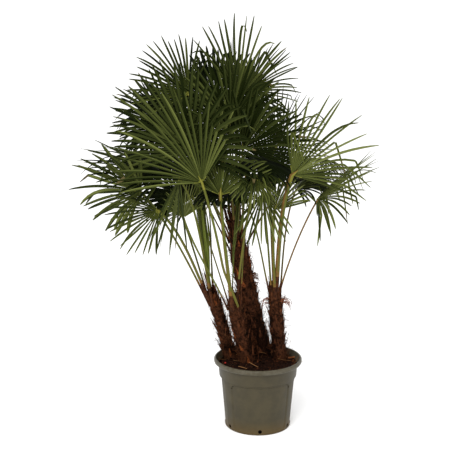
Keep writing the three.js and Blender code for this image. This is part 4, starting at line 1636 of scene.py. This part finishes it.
@dataclass
class Studio:
    """A pale floor and backdrop, a soft sky and one broad key light, seen from standing height."""

    camera_place: Triple = (-0.182, -5.185, 2.187)
    pitch: float = 11.207
    focal_px: float = 951.9
    picture_px: float = 452.0
    sensor_mm: float = 36.0
    paper: Finish = Finish("studio floor", "FFFFFF", 0.9, 0.1)
    paper_reach: float = 30000.0
    paper_drop: float = 0.5
    sky_strength: float = 1.2
    key_place: Triple = (-1.3, -4.4, 4.6)
    key_aim: Triple = (-0.15, 0.1, 1.3)
    key_size: float = 2.6
    key_power_w: float = 240.0

    def camera(self) -> None:
        """Places the camera."""
        eye = bpy.data.cameras.new("camera")
        eye.sensor_width = self.sensor_mm
        eye.lens = self.sensor_mm * self.focal_px / self.picture_px
        holder = linked("camera", eye)
        holder.location = self.camera_place
        holder.rotation_euler = (math.radians(90 - self.pitch), 0, 0)
        bpy.context.scene.camera = holder

    def floor(self) -> None:
        """Lays the floor."""
        mesh = MeshBuilder()
        corners = self.paper_reach * np.array([[-1, -1, 0], [1, -1, 0], [1, 1, 0], [-1, 1, 0]])
        mesh.points.append((corners - UP * self.paper_drop) * MM)
        mesh.faces.append([0, 1, 2, 3])
        mesh.slots.append(0)
        mesh.build("studio_floor", [self.paper])

    def light(self) -> None:
        """Hangs the square, soft key light."""
        lamp = bpy.data.lights.new("key", "AREA")
        lamp.shape = "SQUARE"
        lamp.size = self.key_size
        lamp.energy = self.key_power_w
        holder = linked("key", lamp)
        holder.location = self.key_place
        way = Vector(self.key_aim) - Vector(self.key_place)
        holder.rotation_euler = way.to_track_quat("-Z", "Y").to_euler()

    def build(self) -> None:
        """Sets the whole studio up."""
        scene = bpy.context.scene
        scene.view_settings.view_transform = "Standard"
        scene.view_settings.look = "None"
        scene.world = bpy.data.worlds.new("studio")
        scene.world.use_nodes = True
        sky = scene.world.node_tree.nodes["Background"].inputs
        sky["Color"].default_value = (1.0, 1.0, 1.0, 1.0)
        sky["Strength"].default_value = self.sky_strength
        self.camera()
        self.floor()
        self.light()


# ---- the palm


STEM_SIZES = {
    "left": ((-145, 90), (-264, 99, 772), (0, 0), 35, 33, 20, 8, (-275, 100, 790), 60),
    "front": ((-46, -2), (-147, -28, 782), (-4, 0), 44, 41, 20, 16, (-155, -30, 800), 75),
    "tall": ((48, 125), (-140, 120, 1206), (-18, 4), 57, 52, 26, 6, (-136, 120, 1170), 190, 0.55),
    "right": ((124, 35), (87, 58, 816), (4, 0), 38, 37, 20, 8, (85, 60, 830), 65),
}
"""Each stem's sizes, in Stem's order."""

TRUNK_SIZES = {
    "left": (72, 100, 31, 26, 26000, 10, 900, 9),
    "front": (84, 100, 32, 30, 26000, 40, 900, 11),
    "tall": (
        96, 180, 33, 70, 22000, -60, 640, 16, ((838, -8, 18, 0.5), (790, -4, 10, 0.4), (930, 2, 7, 0.35))
    ),
    "right": (72, 104, 34, 28, 26000, 170, 700, 9, ((708, -12, 14, 1.0), (712, 190, 9, 0.7))),
}
"""Each stem's bark, in Trunk's order."""

HEART = dict(tone=0, slim=-0.35, widest=0.5, joined=0.55)
# A frond in the shaded heart of the crown: darkened as painted shade, with broad leaflets that close the
# gaps.
"""A frond in the shaded heart of the crown: dark, with broad leaflets that close the gaps."""

LOOSE = dict(slim=0.2, pitch=8, widest=0.42, joined=0.25)
"""A small, hanging frond with few leaflets."""

FROND_ROWS: dict[str, list[tuple]] = {
    "front": [
        (238, 24, 705, 5, 510, dict(
            turn=-62, twist=99, spread=66, limp=0.1, joined=0.18, girth=1.3, sheath=0.001, drop=40,
            unruly=1.2, slim=0.3,
        )),
        (251, 17, 590, -11, 330, dict(turn=164, twist=-148, spread=72, girth=1.8, streaked=1, sheath=0.12)),
        (185, 32, 490, -9, 205, dict(turn=-100, twist=157, spread=65, tone=3)),
        (304, 19, 695, 131, 185, dict(LOOSE, turn=-39, twist=5, spread=75, sag=0.3, tone=3, girth=0.8)),
        (134, 32, 585, 10, 360, dict(HEART, turn=-3, girth=0.7)),
        (6, 4, 260, 1, 460, dict(spread=8, tone=3, bundle=7)),
        (324, 14, 675, 59, 230, dict(LOOSE, spread=80, turn=-19, sag=0.7, girth=0.7)),
    ],
    "right": [
        (290, 21, 685, 27, 475, dict(
            turn=72, twist=-85, spread=60, tone=3, limp=0.2, joined=0.24, girth=1.9, streaked=1,
            heavy=0.8, unruly=1.1, slim=0.36,
        )),
        (348, 27, 540, 23, 410, dict(
            turn=2, twist=10, spread=100, sag=0.35, tone=3, limp=0.35, joined=0.16, stiff=0.9, slim=0.2
        )),
        (269, 19, 460, 7, 215, dict(
            turn=126, twist=-141, spread=60, tone=3, girth=1.25, pitch=7.5, widest=0.45
        )),
        (242, 15, 545, 138, 300, dict(LOOSE, spread=46, turn=28, tone=3, joined=0.2, slim=0.25)),
        (202, 22, 610, 80, 280, dict(HEART, spread=85, sag=0.6, pitch=8)),
        (73, 30, 615, 54, 390, dict(turn=22, tone=1, joined=0.5, girth=0.7, slim=0, widest=0.5)),
        (94, 19, 675, 21, 465, dict(tone=1, joined=0.3, girth=0.8, unruly=0.35, slim=0.5)),
        (35, 17, 540, 42, 295, dict(spread=95, turn=-27)),
        (150, 3, 380, 1, 450, dict(spread=7)),
    ],
    "left": [
        (200, 33, 545, 72, 310, dict(
            turn=-8, twist=-52, spread=72, tone=3, joined=0.22, girth=1.7, unruly=0.8, slim=0.32,
            pitch=8, widest=0.45,
        )),
        (179, 35, 665, 38, 400, dict(
            turn=-2, twist=55, spread=85, limp=0.15, joined=0.24, girth=1.3, unruly=1.2, slim=0.15,
            pitch=7.5, widest=0.5,
        )),
        (152, 26, 690, 40, 490, dict(turn=1, tone=1, girth=1.2, slim=0)),
        (191, 6, 150, 0, 560, dict(spread=8, tone=5, bundle=25, girth=1.3)),
        (246, 29, 770, 133, 400, dict(
            turn=-24, spread=30, tone=3, limp=0.0, joined=0.1, slim=0.3, pitch=8, widest=0.4
        )),
        (96, 29, 580, 63, 550, dict(turn=29, tone=1, girth=0.7, slim=0.05)),
        (98, 35, 520, 64, 395, dict(turn=30, tone=1, girth=0.7, slim=0.1)),
    ],
    "tall": [
        (281, 7, 690, 2, 460, dict(turn=144, twist=-125, spread=48, joined=0.34, slim=0.24)),
        (120, 2, 520, 1, 500, dict(spread=9, tone=0)),
        (155, 22, 755, 23, 355, dict(turn=26, twist=-72, spread=78, joined=0.34, slim=0.1)),
        (123, 16, 660, -5, 340, dict(HEART, turn=-58, twist=7, spread=90)),
        (159, 36, 660, 22, 350, dict(turn=15, twist=-64, spread=95, tone=1, joined=0.42, slim=-0.1)),
        (173, 37, 660, -3, 310, dict(turn=-33, twist=-25, tone=1, joined=0.42, slim=-0.1)),
        (223, 38, 530, -16, 520, dict(turn=21, tone=1, joined=0.5, slim=0)),
        (261, 17, 580, -11, 375, dict(turn=154, twist=-147, spread=95, tone=1, joined=0.45, slim=-0.25)),
        (282, 26, 480, 8, 420, dict(turn=-15, tone=1, joined=0.45, slim=-0.1)),
        (304, 25, 425, 84, 300, dict(HEART, spread=85, turn=25, sag=0.6, pitch=8)),
        (2, 6, 725, 51, 305, dict(turn=-7, twist=59, spread=75, limp=0.3, unruly=0.7, slim=0.25)),
        (16, 31, 490, -6, 325, dict(
            turn=1, twist=55, spread=80, limp=0.06, joined=0.24, unruly=0.4, slim=0.45
        )),
        (89, 36, 630, 19, 380, dict(turn=25, tone=0, joined=0.45, slim=0)),
        (118, 47, 485, 11, 420, dict(HEART, turn=35)),
        (5, 51, 560, 45, 280, dict(turn=-19, sag=0.5, joined=0.25, slim=0.4)),
        (80, 57, 500, 41, 420, dict(HEART, turn=20)),
    ],
}
"""Each stem's fronds: heading, lean, stalk, nod and blade, then what else differs, in Frond's words."""


@dataclass
class Palm:
    """The whole plant: each stem's trunk, stalks and leaflets."""

    largest_piece: int = 9

    def build(self) -> None:
        """Builds every piece of the plant, stem by stem."""
        for group, (name, rows) in enumerate(FROND_ROWS.items(), 1):
            stem = Stem(name, *STEM_SIZES[name])
            fronds = [Frond(stem, 1000 * group + k, *row, **more) for k, (*row, more) in enumerate(rows)]
            nodes = [f"frond_{name}_{k + 1:02d}" for k in range(len(fronds))]
            Trunk(stem, *TRUNK_SIZES[name]).build()
            Stalks(f"{name}_leaf_stalks", fronds, nodes).build()
            for part, first in enumerate(range(0, len(fronds), self.largest_piece), 1):
                some = slice(first, first + self.largest_piece)
                Foliage(f"{name}_leaflets_{part}", fronds[some], nodes[some]).build()


def main() -> None:
    """Dresses the frame, piece by piece."""
    logging.basicConfig(level=logging.INFO, format="%(message)s")
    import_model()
    Pot().build()
    Soil().build()
    Palm().build()
    Studio().build()


if __name__ == "__main__":
    main()
